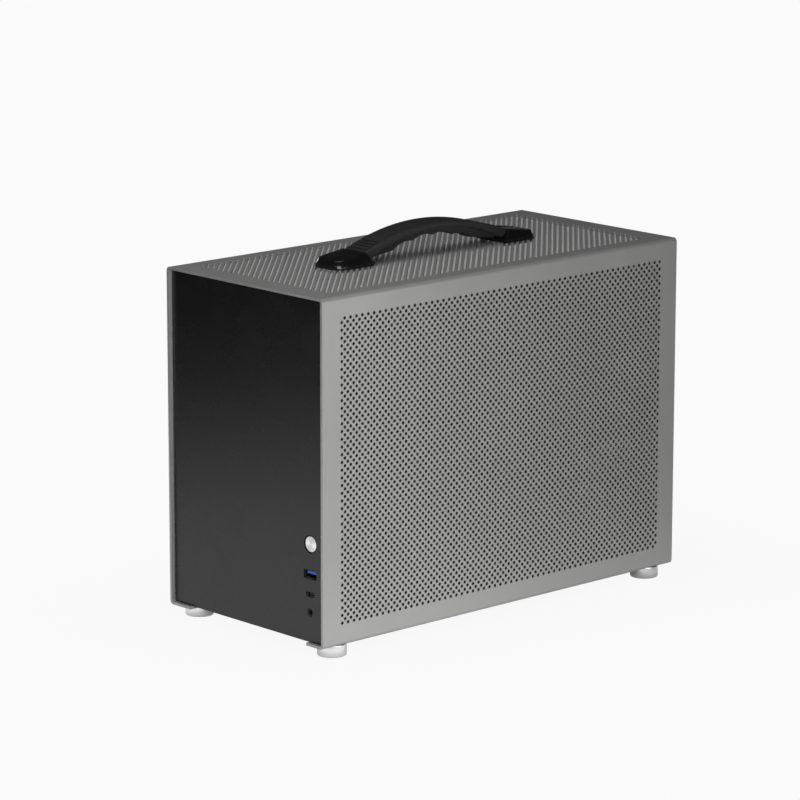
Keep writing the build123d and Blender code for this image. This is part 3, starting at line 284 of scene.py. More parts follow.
def build_blast_grain():
    g = Group("blast_grain", ["Height", "Tone"], Size=0.0006, Patch=0.05)
    fine = g.noise(g.place(), g.math("DIVIDE", 1.0, g.ins["Size"]), 3.0, 0.6)
    patch = g.noise(g.place(), g.math("DIVIDE", 1.0, g.ins["Patch"]), 2.0)
    return g.out(Height=fine, Tone=patch)


# %% Rolling marks, long faint streaks along one direction of the sheet
TONE_SCALE = 14.0


def build_rolling_marks():
    g = Group("rolling_marks", ["Streak", "Tone"], Stretch=(1.0, 1.0, 1.0), Density=900.0)
    pulled = g.vector("MULTIPLY", g.place(), g.ins["Stretch"])
    streak = g.noise(pulled, g.ins["Density"], 4.0, 0.65)
    return g.out(Streak=streak, Tone=g.noise(g.place(), TONE_SCALE, 2.0))


# %% Lathe rings, fine circles about the axis that the piece was turned on


def build_lathe_rings():
    g = Group("lathe_rings", ["Ring"], Centre=(0.0, 0.0, 0.0), Across=(1.0, 1.0, 0.0), Pitch=0.0003)
    away = g.vector("SUBTRACT", g.place(), g.ins["Centre"])
    radius = g.vector("LENGTH", g.vector("MULTIPLY", away, g.ins["Across"]))
    turns = g.math("DIVIDE", radius, g.ins["Pitch"])
    rings = g.node("TexNoise", {"noise_dimensions": "1D"}, W=turns, Scale=1.0, Detail=2.0)
    return g.out(Ring=rings[0])


# %% Moulding grain, the fine spark-eroded texture of a plastic mould
FLOW_SCALE = 45.0


def build_mould_grain():
    g = Group("mould_grain", ["Height", "Tone"], Size=0.0005)
    scale = g.math("DIVIDE", 1.0, g.ins["Size"])
    cells = g.node("TexVoronoi", {"feature": "SMOOTH_F1"}, Vector=g.place(), Scale=scale)
    return g.out(Height=cells["Distance"], Tone=g.noise(g.place(), FLOW_SCALE, 3.0))


# %% Handling, where hands polish a surface a little and dust dulls what faces up
SMUDGE_SPAN, SPECK_SPAN, SPECK_SCALE = (0.42, 0.72), (0.56, 0.74), 900.0


def build_handling():
    g = Group("handling", ["Smudge", "Dust"], Dust=0.3, Smudge_Size=0.03)
    scale = g.math("DIVIDE", 1.0, g.ins["Smudge Size"])
    smudge = g.spread(g.noise(g.place(), scale, 5.0, 0.7), *SMUDGE_SPAN)
    specks = g.spread(g.noise(g.place(), SPECK_SCALE, 2.0), *SPECK_SPAN)
    facing = g.node("SeparateXYZ", _0=g.node("TexCoord")["Normal"])["Z"]
    settled = g.math("MULTIPLY", g.math("MAXIMUM", facing), specks)
    return g.out(Smudge=smudge, Dust=g.math("MULTIPLY", settled, g.ins["Dust"]))


BLAST_GRAIN, ROLLING_MARKS, LATHE_RINGS = build_blast_grain(), build_rolling_marks(), build_lathe_rings()
MOULD_GRAIN, HANDLING = build_mould_grain(), build_handling()
print("node groups", len(bpy.data.node_groups))

# %% [markdown]
# ## Finishes
#
# A finish is one Principled shader. Its base colour, gloss and bump each take a value that the groups
# vary a little, because no real sheet or moulding is the same all over.

# %% The helpers of every finish
MASK_LOW, MASK_HIGH = 0.3, 0.7


class Finish(Kit):
    """A material in the making, with its Principled shader joined to the output."""

    def __init__(self, name, metallic, roughness, **plain):
        self.material = bpy.data.materials.new(name)
        self.material.use_nodes = True
        super().__init__(self.material.node_tree)
        shader = self.node("BsdfPrincipled", Metallic=metallic, Roughness=roughness, **plain)[0]
        self.inputs = shader.node.inputs
        self.node("OutputMaterial", Surface=shader)

    def group(self, tree, **values):
        return self.node("Group", {"node_tree": tree}, **values)

    def between(self, mask, low, high):
        """A number that goes from low to high with the middle of the mask's span."""
        return self.spread(mask, MASK_LOW, MASK_HIGH, low, high)

    def blend(self, mask, low, high):
        """A colour between two, by a mask of 0 to 1."""
        return self.node("Mix", {"data_type": "RGBA"}, _0=mask, _6=low, _7=high)[2]

    def set(self, label, source):
        self.tree.links.new(source, self.inputs[label])

    def bump(self, height, strength, distance):
        self.set("Normal", self.node("Bump", Strength=strength, Distance=distance, Height=height)[0])


# %% [markdown]
# The sleeve is aluminium, blasted with beads and anodised in a warm dark silver. Blasting leaves a
# hazy surface: part of it scatters light like paint and part still mirrors. The top is touched most, so
# there the haze is worn thinner and fine scratches spread what it mirrors. The cut edges of the sheet
# face the front and the rear, where no blasting reaches them.

# %% Sleeve finish
SLEEVE_TINT = (1.0, 1.01, 0.99)
SLEEVE_DARK, SLEEVE_LIGHT = grey(0.40, SLEEVE_TINT), grey(0.46, SLEEVE_TINT)
SLEEVE_DUST, CUT_EDGE = grey(0.48), grey(0.38)
HAZY, WORN = 0.55, 0.72
SCRATCHED = 0.16
FACING_END, FACING_UP = (0.9, 0.99), (0.2, 0.9)


def finish_sleeve():
    f = Finish("sleeve_metal", HAZY, 0.44)
    grain = f.group(BLAST_GRAIN, Size=0.0007, Patch=0.06)
    hands = f.group(HANDLING, Dust=0.25, Smudge_Size=0.05)
    facing = f.node("SeparateXYZ", _0=f.node("TexCoord")["Normal"])
    cut = f.spread(f.math("ABSOLUTE", facing["Y"]), *FACING_END)
    sheet = f.blend(cut, f.blend(grain["Tone"], SLEEVE_DARK, SLEEVE_LIGHT), CUT_EDGE)
    f.set("Base Color", f.blend(hands["Dust"], sheet, SLEEVE_DUST))
    f.set("Metallic", f.spread(facing["Z"], *FACING_UP, HAZY, WORN))
    scratched = f.spread(facing["Z"], *FACING_UP, 0.0, SCRATCHED)
    f.set("Roughness", f.math("ADD", f.between(hands["Smudge"], 0.42, 0.46), scratched))
    f.bump(grain["Height"], 0.10, 0.0001)
    return f.material


def make_hole_shade_finish():
    """The wall that a punch leaves is torn and matte. Its near black colour is painted shade, for the shade
    that falls inside the holes.
    """
    f = Finish("hole_wall_painted_shade", 0.2, 0.6)
    grain = f.group(BLAST_GRAIN, Size=0.0003, Patch=0.01)
    # Painted shade: the walls of the holes are coloured near black for the shade inside them.
    f.set("Base Color", f.blend(grain["Tone"], grey(0.03), grey(0.05)))
    f.bump(grain["Height"], 0.2, 0.0001)
    return f.material


SLEEVE_FINISH, HOLE_SHADE_FINISH = finish_sleeve(), make_hole_shade_finish()

# %% [markdown]
# The panel has a powder coat with a fine orange-peel skin, and the handle is moulded in two plastics.
# Its grip is soft and matte so that it doesn't slip, and the two caps that hold it to the sleeve are
# hard and glossy. That contrast is why the caps show bright glints at their round noses while the grip
# shows only a broad dull sheen. One recipe serves all of them and the small plastic parts too.

# %% Moulded and coated finishes


def finish_moulded(name, tones, gloss, grain_size, smudge_size, relief, dust=None):
    """Tones and gloss are pairs, relief is a bump's strength and depth, dust its amount and tone."""
    f = Finish(name, 0.0, gloss[0])
    grain = f.group(MOULD_GRAIN, Size=grain_size)
    hands = f.group(HANDLING, Dust=dust[0] if dust else 0.0, Smudge_Size=smudge_size)
    colour = f.blend(grain["Tone"], *tones)
    if dust:
        colour = f.blend(hands["Dust"], colour, grey(dust[1]))
    f.set("Base Color", colour)
    f.set("Roughness", f.between(hands["Smudge"], *gloss))
    f.bump(grain["Height"], *relief)
    return f.material


def finish_plastic(name, low, high, roughness, grain_size):
    gloss = roughness - 0.05, roughness + 0.08
    return finish_moulded(name, (low, high), gloss, grain_size, 0.006, (0.15, 0.00006))


PANEL_TONES = grey(0.004), grey(0.007, (1.0, 1.0, 1.15))
PANEL_FINISH = finish_moulded("panel_black", PANEL_TONES, (0.27, 0.32), 0.0009, 0.04, (0.12, 0.00008))
GRIP_FINISH = finish_moulded(
    "grip_black", (grey(0.014), grey(0.021)), (0.58, 0.48), 0.0006, 0.02, (0.35, 0.00012), (0.2, 0.09))
CAP_FINISH = finish_moulded(
    "cap_black", (grey(0.005), grey(0.008)), (0.13, 0.22), 0.0014, 0.012, (0.05, 0.00008), (0.1, 0.07))
HOLDER_FINISH = finish_plastic("holder_plastic", grey(0.018), grey(0.028), 0.5, 0.0005)
TONGUE_BLUE_FINISH = finish_plastic(
    "tongue_blue", (0.010, 0.10, 0.46, 1.0), (0.016, 0.14, 0.56, 1.0), 0.38, 0.0004)
TONGUE_BLACK_FINISH = finish_plastic("tongue_black", grey(0.02), grey(0.03), 0.4, 0.0004)
JACK_FINISH = finish_plastic("jack_black", grey(0.002), grey(0.004), 0.62, 0.0004)
INLET_FINISH = finish_plastic("inlet_black", grey(0.016), grey(0.026), 0.45, 0.0006)
# Painted light: a pale film that stands in for the lit inside of the case seen through the top's slots.
PALE_FILM_FINISH = finish_plastic("pale_film_painted_light", grey(0.72), grey(0.80), 0.6, 0.0007)
RUBBER_FINISH = finish_plastic("foot_rubber", grey(0.020), grey(0.032), 0.8, 0.0008)

# %% Turned aluminium, for the feet and the button


def finish_turned(name, tone, roughness, centre, across, pitch, anisotropy):
    f = Finish(name, 1.0, roughness, Anisotropic=anisotropy)
    rings = f.group(LATHE_RINGS, Centre=centre, Across=across, Pitch=pitch)
    hands = f.group(HANDLING, Dust=0.1, Smudge_Size=0.01)
    f.set("Base Color", f.blend(rings["Ring"], grey(tone * 0.9), grey(tone)))
    f.set("Roughness", f.between(hands["Smudge"], roughness, roughness + 0.06))
    f.bump(rings["Ring"], 0.25, 0.00005)
    return f.material


# %% [markdown]
# Inside, the frame is zinc plated steel sheet. Zinc grows in large crystals and rolling leaves long
# marks, so its grey varies from patch to patch. The slot covers are brighter bare sheet: through the
# right side's holes they show as pale bands low at the rear, as they do in the photograph.

# %% Sheet, screw and board finishes
CRYSTAL_SCALE, MARKS_DENSITY = 130.0, 700.0


def finish_sheet(name, low, high, roughness, stretch):
    f = Finish(name, 1.0, roughness)
    marks = f.group(ROLLING_MARKS, Stretch=stretch, Density=MARKS_DENSITY)
    crystals = f.node("TexVoronoi", Vector=f.place(), Scale=CRYSTAL_SCALE)["Color"]
    mottled = f.blend(f.node("SeparateColor", Color=crystals)[0], grey(low), grey(high))
    f.set("Base Color", f.blend(marks["Tone"], mottled, grey(high)))
    f.set("Roughness", f.between(marks["Streak"], roughness - 0.05, roughness + 0.08))
    f.bump(marks["Streak"], 0.10, 0.00006)
    return f.material


def finish_screw(name, tone, tint):
    f = Finish(name, 1.0, 0.30)
    grain = f.group(BLAST_GRAIN, Size=0.0004, Patch=0.004)
    hands = f.group(HANDLING, Dust=0.2, Smudge_Size=0.004)
    f.set("Base Color", f.blend(grain["Tone"], grey(tone * 0.8, tint), grey(tone, tint)))
    f.set("Roughness", f.between(hands["Smudge"], 0.25, 0.42))
    f.bump(grain["Height"], 0.15, 0.00005)
    return f.material


def finish_board():
    """Solder mask over copper: glossy green, with lighter lines where tracks lie below."""
    f = Finish("board_green", 0.0, 0.3, Coat_Weight=0.4)
    tracks = f.node("TexBrick", {"offset": 0.37}, Vector=f.place(), Scale=220.0, Mortar_Size=0.035)["Fac"]
    lines = f.math("SUBTRACT", 1.0, tracks)
    f.set("Base Color", f.blend(lines, (0.03, 0.19, 0.09, 1.0), (0.012, 0.09, 0.04, 1.0)))
    f.bump(tracks, 0.2, 0.00005)
    return f.material


FRAME_FINISH = finish_sheet("frame_steel", 0.50, 0.62, 0.50, (0.02, 1.0, 1.0))
COVER_FINISH = finish_sheet("cover_steel", 0.66, 0.74, 0.42, (0.03, 1.0, 1.0))
SCREW_FINISH = finish_screw("screw_steel", 0.55, (1.0, 1.0, 1.0))
BRASS_FINISH = finish_screw("post_brass", 0.72, (1.0, 0.77, 0.40))
PIN_FINISH = finish_screw("pin_brass", 0.72, (1.0, 0.94, 0.82))
# Painted shade: the port shells take a darker steel than the screws, for the shade inside the ports.
PORT_SHADE_FINISH = finish_screw("port_steel", 0.42, (1.0, 1.0, 1.0))
BOARD_FINISH = finish_board()
print("finishes", len(bpy.data.materials))

# %% [markdown]
# ## Dressing the CAD nodes that stay
#
# A CAD solid whose shape is already right keeps its mesh and only gets its finish. That holds for the
# flat panels, the brackets, the small shells and the screws. The pieces that give the case its look,
# the sleeve, the handle, the feet, the button and the ports, are built anew further down.

# %% Which finish goes on which node
NODE_FINISH = {
    "front_panel": PANEL_FINISH, "base_plate": PANEL_FINISH, "board_tray": PANEL_FINISH,
    "rear_panel": FRAME_FINISH, "psu_bracket": FRAME_FINISH,
    "slot_cover_low": COVER_FINISH, "slot_cover_middle": COVER_FINISH, "slot_cover_high": COVER_FINISH,
    "board_standoffs": BRASS_FINISH, "mains_inlet": INLET_FINISH, "inlet_pins": PIN_FINISH,
    "port_holder": HOLDER_FINISH, "io_board": BOARD_FINISH, "usb_a_shell": PORT_SHADE_FINISH,
    "usb_a_tongue": TONGUE_BLUE_FINISH, "usb_c_shell": PORT_SHADE_FINISH, "usb_c_tongue": TONGUE_BLACK_FINISH,
    "audio_jack": JACK_FINISH, "button_clip": SCREW_FINISH,
}


KIND_FINISH = {"screw": SCREW_FINISH, "pad": RUBBER_FINISH, "lock_bracket": FRAME_FINISH}


def finish_of(name):
    """The finish by the kind of piece that the name tells, or else by the name itself."""
    for kind, finish in KIND_FINISH.items():
        if kind in name:
            return finish
    return NODE_FINISH.get(name)


dressed = [name for name in nodes if finish_of(name)]
for name in dressed:
    slots = nodes[name].data.materials
    slots.clear()
    slots.append(finish_of(name))
print("nodes dressed", len(dressed), "of", len(nodes))

# %% [markdown]
# ## Mesh helpers
#
# All measures are in millimetres, like the CAD source, and are turned into metres only when a mesh is
# made. Four helpers do most of the work: one writes a mesh, one fills a flat outline round its holes,
# one gives a flat pattern its thickness, and one spins a profile about an axis, as a lathe does.

# %% Write a mesh and let it ride
SMOOTH_ANGLE = math.radians(32)


def make_piece(name, points, faces, material, body, smooth=True):
    """A piece from points in millimetres. It rides on a CAD body and takes a finish."""
    mesh = bpy.data.meshes.new(name)
    mesh.from_pydata([tuple(c * MM for c in p) for p in points], [], faces)
    mesh.validate()
    if smooth:
        mesh.shade_smooth()
        mesh.set_sharp_from_angle(angle=SMOOTH_ANGLE)
    mesh.materials.append(material)
    piece = link_object(bpy.data.objects.new(name, mesh))
    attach(piece, body)
    size = " x ".join(f"{max(axis) - min(axis):.1f}" for axis in zip(*points))
    print(f"{name}: {len(mesh.polygons)} faces, {size} mm")
    return piece


# %% Fill flat outlines
GAP = 1e-6


def rectangle(half_x, half_y):
    return [(x * half_x, y * half_y) for x, y in ((-1, -1), (1, -1), (1, 1), (-1, 1))]


def circle(x, y, radius, steps):
    turns = [2 * math.pi * k / steps for k in range(steps)]
    return [(x + radius * math.cos(turn), y + radius * math.sin(turn)) for turn in turns]


def middle_of(points, face):
    return sum((Vector(points[i]) for i in face), Vector((0.0, 0.0))) / len(face)


def plate_pattern(outline, holes, is_open):
    """Fills an outline around holes. is_open says whether a point lies in a hole."""
    flat, edges = [], []
    for ring in [outline] + holes:
        first = len(flat)
        flat += [Vector(p) for p in ring]
        edges += [(first + k, first + (k + 1) % len(ring)) for k in range(len(ring))]
    result = geometry.delaunay_2d_cdt(flat, edges, [], 1, GAP)
    points = [tuple(p) for p in result[0]]
    return points, [tuple(face) for face in result[2] if not is_open(middle_of(points, face))]


# %% Give a flat pattern its thickness


def turned(faces):
    return [tuple(reversed(f)) for f in faces]


def free_edges(faces):
    """The edges that only one face has, in the direction in which it runs round them."""
    used = {(a, b) for face in faces for a, b in zip(face, face[1:] + face[:1])}
    return [(a, b) for a, b in sorted(used) if (b, a) not in used]


def thicken(flat, faces, front, rear):
    """Front and rear copies of a flat pattern, joined by a wall along each free edge.

    front and rear turn a flat point into a point in space. The faces wind so that front looks out.
    """
    count = len(flat)
    points = [front(p) for p in flat] + [rear(p) for p in flat]
    solid = [tuple(f) for f in faces] + [tuple(i + count for i in reversed(f)) for f in faces]
    return points, solid + [(b, a, a + count, b + count) for a, b in free_edges(faces)]


# %% Spin a profile about an axis


def spin(profile, steps, to_space):
    """A closed solid of revolution. The profile is pairs of radius and height, from axis to axis."""
    points = [to_space(0.0, 0.0, profile[0][1])]
    for radius, height in profile[1:-1]:
        for k in range(steps):
            angle = 2 * math.pi * k / steps
            points.append(to_space(radius * math.cos(angle), radius * math.sin(angle), height))
    points.append(to_space(0.0, 0.0, profile[-1][1]))
    faces = []
    rings = len(profile) - 2
    last = len(points) - 1
    for k in range(steps):
        after = (k + 1) % steps
        faces.append((0, 1 + after, 1 + k))
        for r in range(rings - 1):
            low = 1 + r * steps
            faces.append((low + k, low + after, low + steps + after, low + steps + k))
        top = 1 + (rings - 1) * steps
        faces.append((top + k, top + after, last))
    return points, faces


# %% [markdown]
# ## The sleeve's sides
#
# Each side has 4,640 punched holes of 2.5 mm, in rows that are shifted by half a step, so every hole stands
# in the middle of a square on its point. A Boolean with that many cutters would be slow and untidy. The
# pattern is regular, so one cell, a square with an eight-sided hole, is written down and repeated, and
# neighbouring cells share their corners. The wall then gets its real 2 mm thickness, so the holes have
# walls, and these walls are coloured near black as painted shade, which darkens the holes when they are
# seen from the side.

# %% The size of the sleeve and of its holes
HALF_W, HALF_L = 82.0, 173.0
SLEEVE_LOW, SLEEVE_TOP, SHEET = 9.0, 254.0, 2.0
TOP_BEND_R, BOTTOM_BEND_R, BEND_RUN = 3.0, 3.0, 1.0
WALL_LOW, WALL_HIGH = SLEEVE_LOW + BOTTOM_BEND_R + BEND_RUN, SLEEVE_TOP - TOP_BEND_R - BEND_RUN
TOP_HALF_X = HALF_W - TOP_BEND_R - BEND_RUN
HALF_STEP, HOLE_R = 2.7, 1.25
HOLE_COLUMNS, HOLE_ROWS = 116, 80
FIRST_HOLE_Y = -(HOLE_COLUMNS - 1) / 2 * HALF_STEP
FIRST_HOLE_Z = SLEEVE_LOW + 16.2
HOLE_SIDES = 8
ROUNDING = 0.001


def wall_pattern():
    """The flat pattern of a side: pairs of y and z, and faces that wind anticlockwise."""
    points, index, faces = [], {}, []

    def corner(y, z):
        key = (round(y * 100), round(z * 100))
        if key not in index:
            index[key] = len(points)
            points.append((y, z))
        return index[key]

    for column in range(HOLE_COLUMNS):
        for row in range(HOLE_ROWS):
            if (column + row) % 2:
                continue
            y = FIRST_HOLE_Y + column * HALF_STEP
            z = FIRST_HOLE_Z + row * HALF_STEP
            tips = [corner(*tip) for tip in circle(y, z, HALF_STEP, 4)]
            first = len(points)
            points += circle(y, z, HOLE_R, HOLE_SIDES)
            for k, tip in enumerate(tips):
                before, middle, after = (first + (2 * k + step) % HOLE_SIDES for step in (-1, 0, 1))
                faces += [(tip, middle, before), (tip, after, middle), (tip, tips[(k + 1) % 4], after)]
    return points, index, faces


def close_border(points, index, faces, y_edge, z_low, z_high):
    """Fills from the outer row of cells to the rectangle around them."""
    rim = set(index.values())
    open_edges = [(a, b) for a, b in free_edges(faces) if a in rim and b in rim]
    outline = [(-y_edge, z_low), (y_edge, z_low), (y_edge, z_high), (-y_edge, z_high)]
    ids = sorted({i for edge in open_edges for i in edge})
    place = {i: k + 4 for k, i in enumerate(ids)}
    flat = [Vector(p) for p in outline] + [Vector(points[i]) for i in ids]
    edges = [(0, 1), (1, 2), (2, 3), (3, 0)] + [(place[a], place[b]) for a, b in open_edges]
    new_points, _, new_faces, origins = geometry.delaunay_2d_cdt(flat, edges, [], 1, GAP)[:4]
    back_to = []
    for k, source in enumerate(origins):
        if source and source[0] >= 4:
            back_to.append(ids[source[0] - 4])
        else:
            back_to.append(len(points))
            points.append(tuple(new_points[k]))
    for face in new_faces:
        if not cell_covers(*middle_of(new_points, face)):
            faces.append(tuple(back_to[i] for i in face))


def cell_covers(y, z):
    """True where a flat point lies in the square of some hole, or on its edge but for rounding."""
    column = (y - FIRST_HOLE_Y) / HALF_STEP
    row = (z - FIRST_HOLE_Z) / HALF_STEP
    for c in (math.floor(column), math.floor(column) + 1):
        for r in (math.floor(row), math.floor(row) + 1):
            if 0 <= c < HOLE_COLUMNS and 0 <= r < HOLE_ROWS and (c + r) % 2 == 0:
                if abs(column - c) + abs(row - r) < 1.0 + ROUNDING:
                    return True
    return False


def flat_area(points, faces):
    return sum(
        sum(points[a][0] * points[b][1] - points[b][0] * points[a][1] for a, b in zip(f, f[1:] + f[:1])) / 2
        for f in faces)


# %% Build both sides


def paint_shade_in_holes(piece):
    """Gives the walls of the holes, which face along the sheet, their near black finish of painted shade.
    """
    piece.data.materials.append(HOLE_SHADE_FINISH)
    for face in piece.data.polygons:
        _, y, z = (c / MM for c in face.center)
        inside = abs(y) < HALF_L - HOLE_R and WALL_LOW + HOLE_R < z < WALL_HIGH - HOLE_R
        if inside and abs(face.normal.x) < 0.5:
            face.material_index = 1


def build_side(name, side, pattern, faces):
    outer, inner = side * HALF_W, side * (HALF_W - SHEET)
    if side < 0:
        faces = turned(faces)
    points, solid = thicken(pattern, faces, lambda p: (outer, p[0], p[1]), lambda p: (inner, p[0], p[1]))
    piece = make_piece(name, points, solid, SLEEVE_FINISH, "sleeve", smooth=False)
    paint_shade_in_holes(piece)
    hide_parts("sleeve")


wall_points, wall_index, wall_faces = wall_pattern()
close_border(wall_points, wall_index, wall_faces, HALF_L, WALL_LOW, WALL_HIGH)
hole_area = HOLE_SIDES / 2 * HOLE_R ** 2 * math.sin(2 * math.pi / HOLE_SIDES)
sheet_area = 2 * HALF_L * (WALL_HIGH - WALL_LOW) - HOLE_COLUMNS * HOLE_ROWS / 2 * hole_area
print("side area", round(flat_area(wall_points, wall_faces), 1), "and it should be", round(sheet_area, 1))
build_side("sleeve_side_right", 1, wall_points, wall_faces)
build_side("sleeve_side_left", -1, wall_points, wall_faces)

# %% [markdown]
# ## The sleeve's top
#
# The top is slotted at 45 degrees. The slots differ in length, because the field is a rectangle, and
# some are cut short beside the pads that the handle is screwed to. A constrained triangulation takes
# all slot outlines at once and fills the sheet between them, which gives a clean flat pattern.

# %% Where each slot starts and ends
SLOT_PITCH, SLOT_W, SLOT_SHIFT = 5.4, 1.8, 2.1
FIELD_X, FIELD_Y = 67.7, 155.7
PAD_X, PAD_IN, PAD_OUT = 8.0, 66.0, 96.0
SLOT_MIN_SPAN = 2.83
SLOT_ARC = 6


def slot_spans(total):
    """The x spans of the slot line x + y = total in the field, clear of the handle's pads."""
    spans = [(max(-FIELD_X, total - FIELD_Y), min(FIELD_X, total + FIELD_Y))]
    for y_low, y_high in ((-PAD_OUT, -PAD_IN), (PAD_IN, PAD_OUT)):
        cut_low, cut_high = max(-PAD_X, total - y_high), min(PAD_X, total - y_low)
        if cut_low < cut_high:
            spans = [part for a, b in spans for part in ((a, min(b, cut_low)), (max(a, cut_high), b))]
    return [(a, b) for a, b in spans if b - a > SLOT_MIN_SPAN]


def slot_outline(x_low, x_high, total):
    """A slot with round ends, anticlockwise, along the direction (1, -1)."""
    half = SLOT_W / 2
    reach = (x_high - x_low) / 2 * math.sqrt(2) - half
    x_mid = (x_low + x_high) / 2
    along, across = Vector((1, -1)).normalized(), Vector((1, 1)).normalized()
    middle = Vector((x_mid, total - x_mid))
    ring = []
    for sign in (1, -1):
        for k in range(SLOT_ARC + 1):
            angle = -math.pi / 2 + math.pi * k / SLOT_ARC
            local = along * (reach + half * math.cos(angle)) + across * (half * math.sin(angle))
            ring.append(middle + sign * local)
    return ring


def in_slot(point, slots):
    for middle_total, x_low, x_high in slots:
        offset = (point.x + point.y - middle_total) / math.sqrt(2)
        if abs(offset) < SLOT_W / 2:
            x_here = (point.x - point.y + middle_total) / 2
            if x_low < x_here < x_high:
                return True
    return False


# %% Build the top
SCREW_HOLES = [(0.0, sign * y) for sign in (-1, 1) for y in (88.0, 74.0)]
SCREW_HOLE_R = 3.9
ROUND_STEPS = 20


def screw_rings(radius):
    return [circle(x, y, radius, ROUND_STEPS) for x, y in SCREW_HOLES]


def near_screw(point, radius):
    return any((point - Vector(hole)).length < radius for hole in SCREW_HOLES)


def build_top():
    last = int((HALF_W + HALF_L) / SLOT_PITCH)
    totals = [SLOT_SHIFT + k * SLOT_PITCH for k in range(-last, last + 1)]
    slots = [(total, a, b) for total in totals for a, b in slot_spans(total)]
    holes = [slot_outline(a, b, total) for total, a, b in slots] + screw_rings(SCREW_HOLE_R)
    pattern, faces = plate_pattern(
        rectangle(TOP_HALF_X, HALF_L), holes, lambda p: near_screw(p, SCREW_HOLE_R) or in_slot(p, slots))
    points, solid = thicken(
        pattern, faces, lambda p: (*p, SLEEVE_TOP), lambda p: (*p, SLEEVE_TOP - SHEET))
    piece = make_piece("sleeve_top", points, solid, SLEEVE_FINISH, "sleeve", smooth=False)
    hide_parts("sleeve")
    print("slots", len(slots))


build_top()

# %% [markdown]
# ## The pale film behind the slots
#
# The slots show evenly pale from end to end. That pale tone is painted light: a thin pale film under the
# top stands in for the lit inside of the case seen through the slots, and the lamps light it. It is cut out
# round the handle's screws, and it is thin enough for the frame to pass.

# %% Build the pale film
FILM_HALF_X, FILM_HALF_Y, FILM_T = 70.5, 158.5, 0.15
FILM_SCREW_R = 4.6


def build_pale_film():
    pattern, faces = plate_pattern(
        rectangle(FILM_HALF_X, FILM_HALF_Y), screw_rings(FILM_SCREW_R),
        lambda p: near_screw(p, FILM_SCREW_R))
    high = SLEEVE_TOP - SHEET
    points, solid = thicken(pattern, faces, lambda p: (*p, high), lambda p: (*p, high - FILM_T))
    make_piece("top_pale_film", points, solid, PALE_FILM_FINISH, "sleeve", smooth=False)


build_pale_film()

# %% [markdown]
# ## The sleeve's bends
#
# The sheet is bent four times: at the two top corners and again where it turns under the case. A bend
# stretches the metal round a curve, so it catches a soft line of light. Each bend is a short strip
# swept from front to rear, and the two lower ones run on into the flanges that carry the feet.

# %% Sections of the bends
LEFT_FLANGE_W, RIGHT_FLANGE_W = 22.0, 17.6
BEND_STEPS = 10


def arc_points(centre, radius, turn):
    angles = [math.radians(turn * k / BEND_STEPS) for k in range(BEND_STEPS + 1)]
    return [(centre[0] + radius * math.cos(a), centre[1] + radius * math.sin(a)) for a in angles]


def top_bend_section():
    """Outer line out and inner line back, for the right side, as pairs of x and z."""
    centre = (HALF_W - TOP_BEND_R, SLEEVE_TOP - TOP_BEND_R)
    outer, inner = (arc_points(centre, TOP_BEND_R - depth, 90) for depth in (0.0, SHEET))
    outer = [(HALF_W, WALL_HIGH)] + outer + [(TOP_HALF_X, SLEEVE_TOP)]
    return outer, [(HALF_W - SHEET, WALL_HIGH)] + inner + [(TOP_HALF_X, SLEEVE_TOP - SHEET)]


def bottom_bend_section(flange):
    centre = (HALF_W - BOTTOM_BEND_R, SLEEVE_LOW + BOTTOM_BEND_R)
    outer, inner = (arc_points(centre, BOTTOM_BEND_R - depth, -90) for depth in (0.0, SHEET))
    outer = [(HALF_W, WALL_LOW)] + outer + [(HALF_W - flange, SLEEVE_LOW)]
    return outer, [(HALF_W - SHEET, WALL_LOW)] + inner + [(HALF_W - flange, SLEEVE_LOW + SHEET)]


# %% Sweep the sections


def sweep_section(outer, inner, side, flip):
    """A closed strip from front to rear, its ends and long edges shut."""
    stations = (-HALF_L, HALF_L)
    points, faces = [], []
    for y in stations:
        points += [(side * x, y, z) for x, z in outer] + [(side * x, y, z) for x, z in inner]
    count, both = len(outer), 2 * len(outer)
    for k in range(count - 1):
        faces.append((k, k + 1, both + k + 1, both + k))
        faces.append((count + k + 1, count + k, both + count + k, both + count + k + 1))
        faces.append((k + 1, k, count + k, count + k + 1))
        faces.append((both + k, both + k + 1, both + count + k + 1, both + count + k))
    for k in (0, count - 1):
        ring = (k, both + k, both + count + k, count + k)
        faces.append(ring if k == 0 else tuple(reversed(ring)))
    return points, turned(faces) if flip else faces


def build_bend(name, section, side, flip):
    points, faces = sweep_section(*section, side, flip)
    piece = make_piece(name, points, faces, SLEEVE_FINISH, "sleeve")
    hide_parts("sleeve")


build_bend("sleeve_top_bend_right", top_bend_section(), 1, True)
build_bend("sleeve_top_bend_left", top_bend_section(), -1, False)
build_bend("sleeve_flange_right", bottom_bend_section(RIGHT_FLANGE_W), 1, False)
build_bend("sleeve_flange_left", bottom_bend_section(LEFT_FLANGE_W), -1, True)

# %% [markdown]
# ## The feet
#
# Each foot is turned from a bar: a short plain drum with softened edges and a hollow for the rubber
# pad. Spinning one profile gives all of it. The tool leaves circles round the drum, and light spreads
# across them, so its highlights are drawn out from top to bottom.

# %% Spin the feet
FOOT_X, FOOT_Y = 70.9, 155.0
FOOT_STEPS = 72
FOOT_PROFILE = [
    (0.0, 2.0), (7.0, 2.0), (7.0, 0.75), (7.25, 0.5), (9.3, 0.5), (9.75, 0.58), (10.05, 0.80), (10.2, 1.15),
    (10.25, 1.6), (10.25, 8.6), (10.18, 8.85), (9.95, 9.0), (0.0, 9.0)]


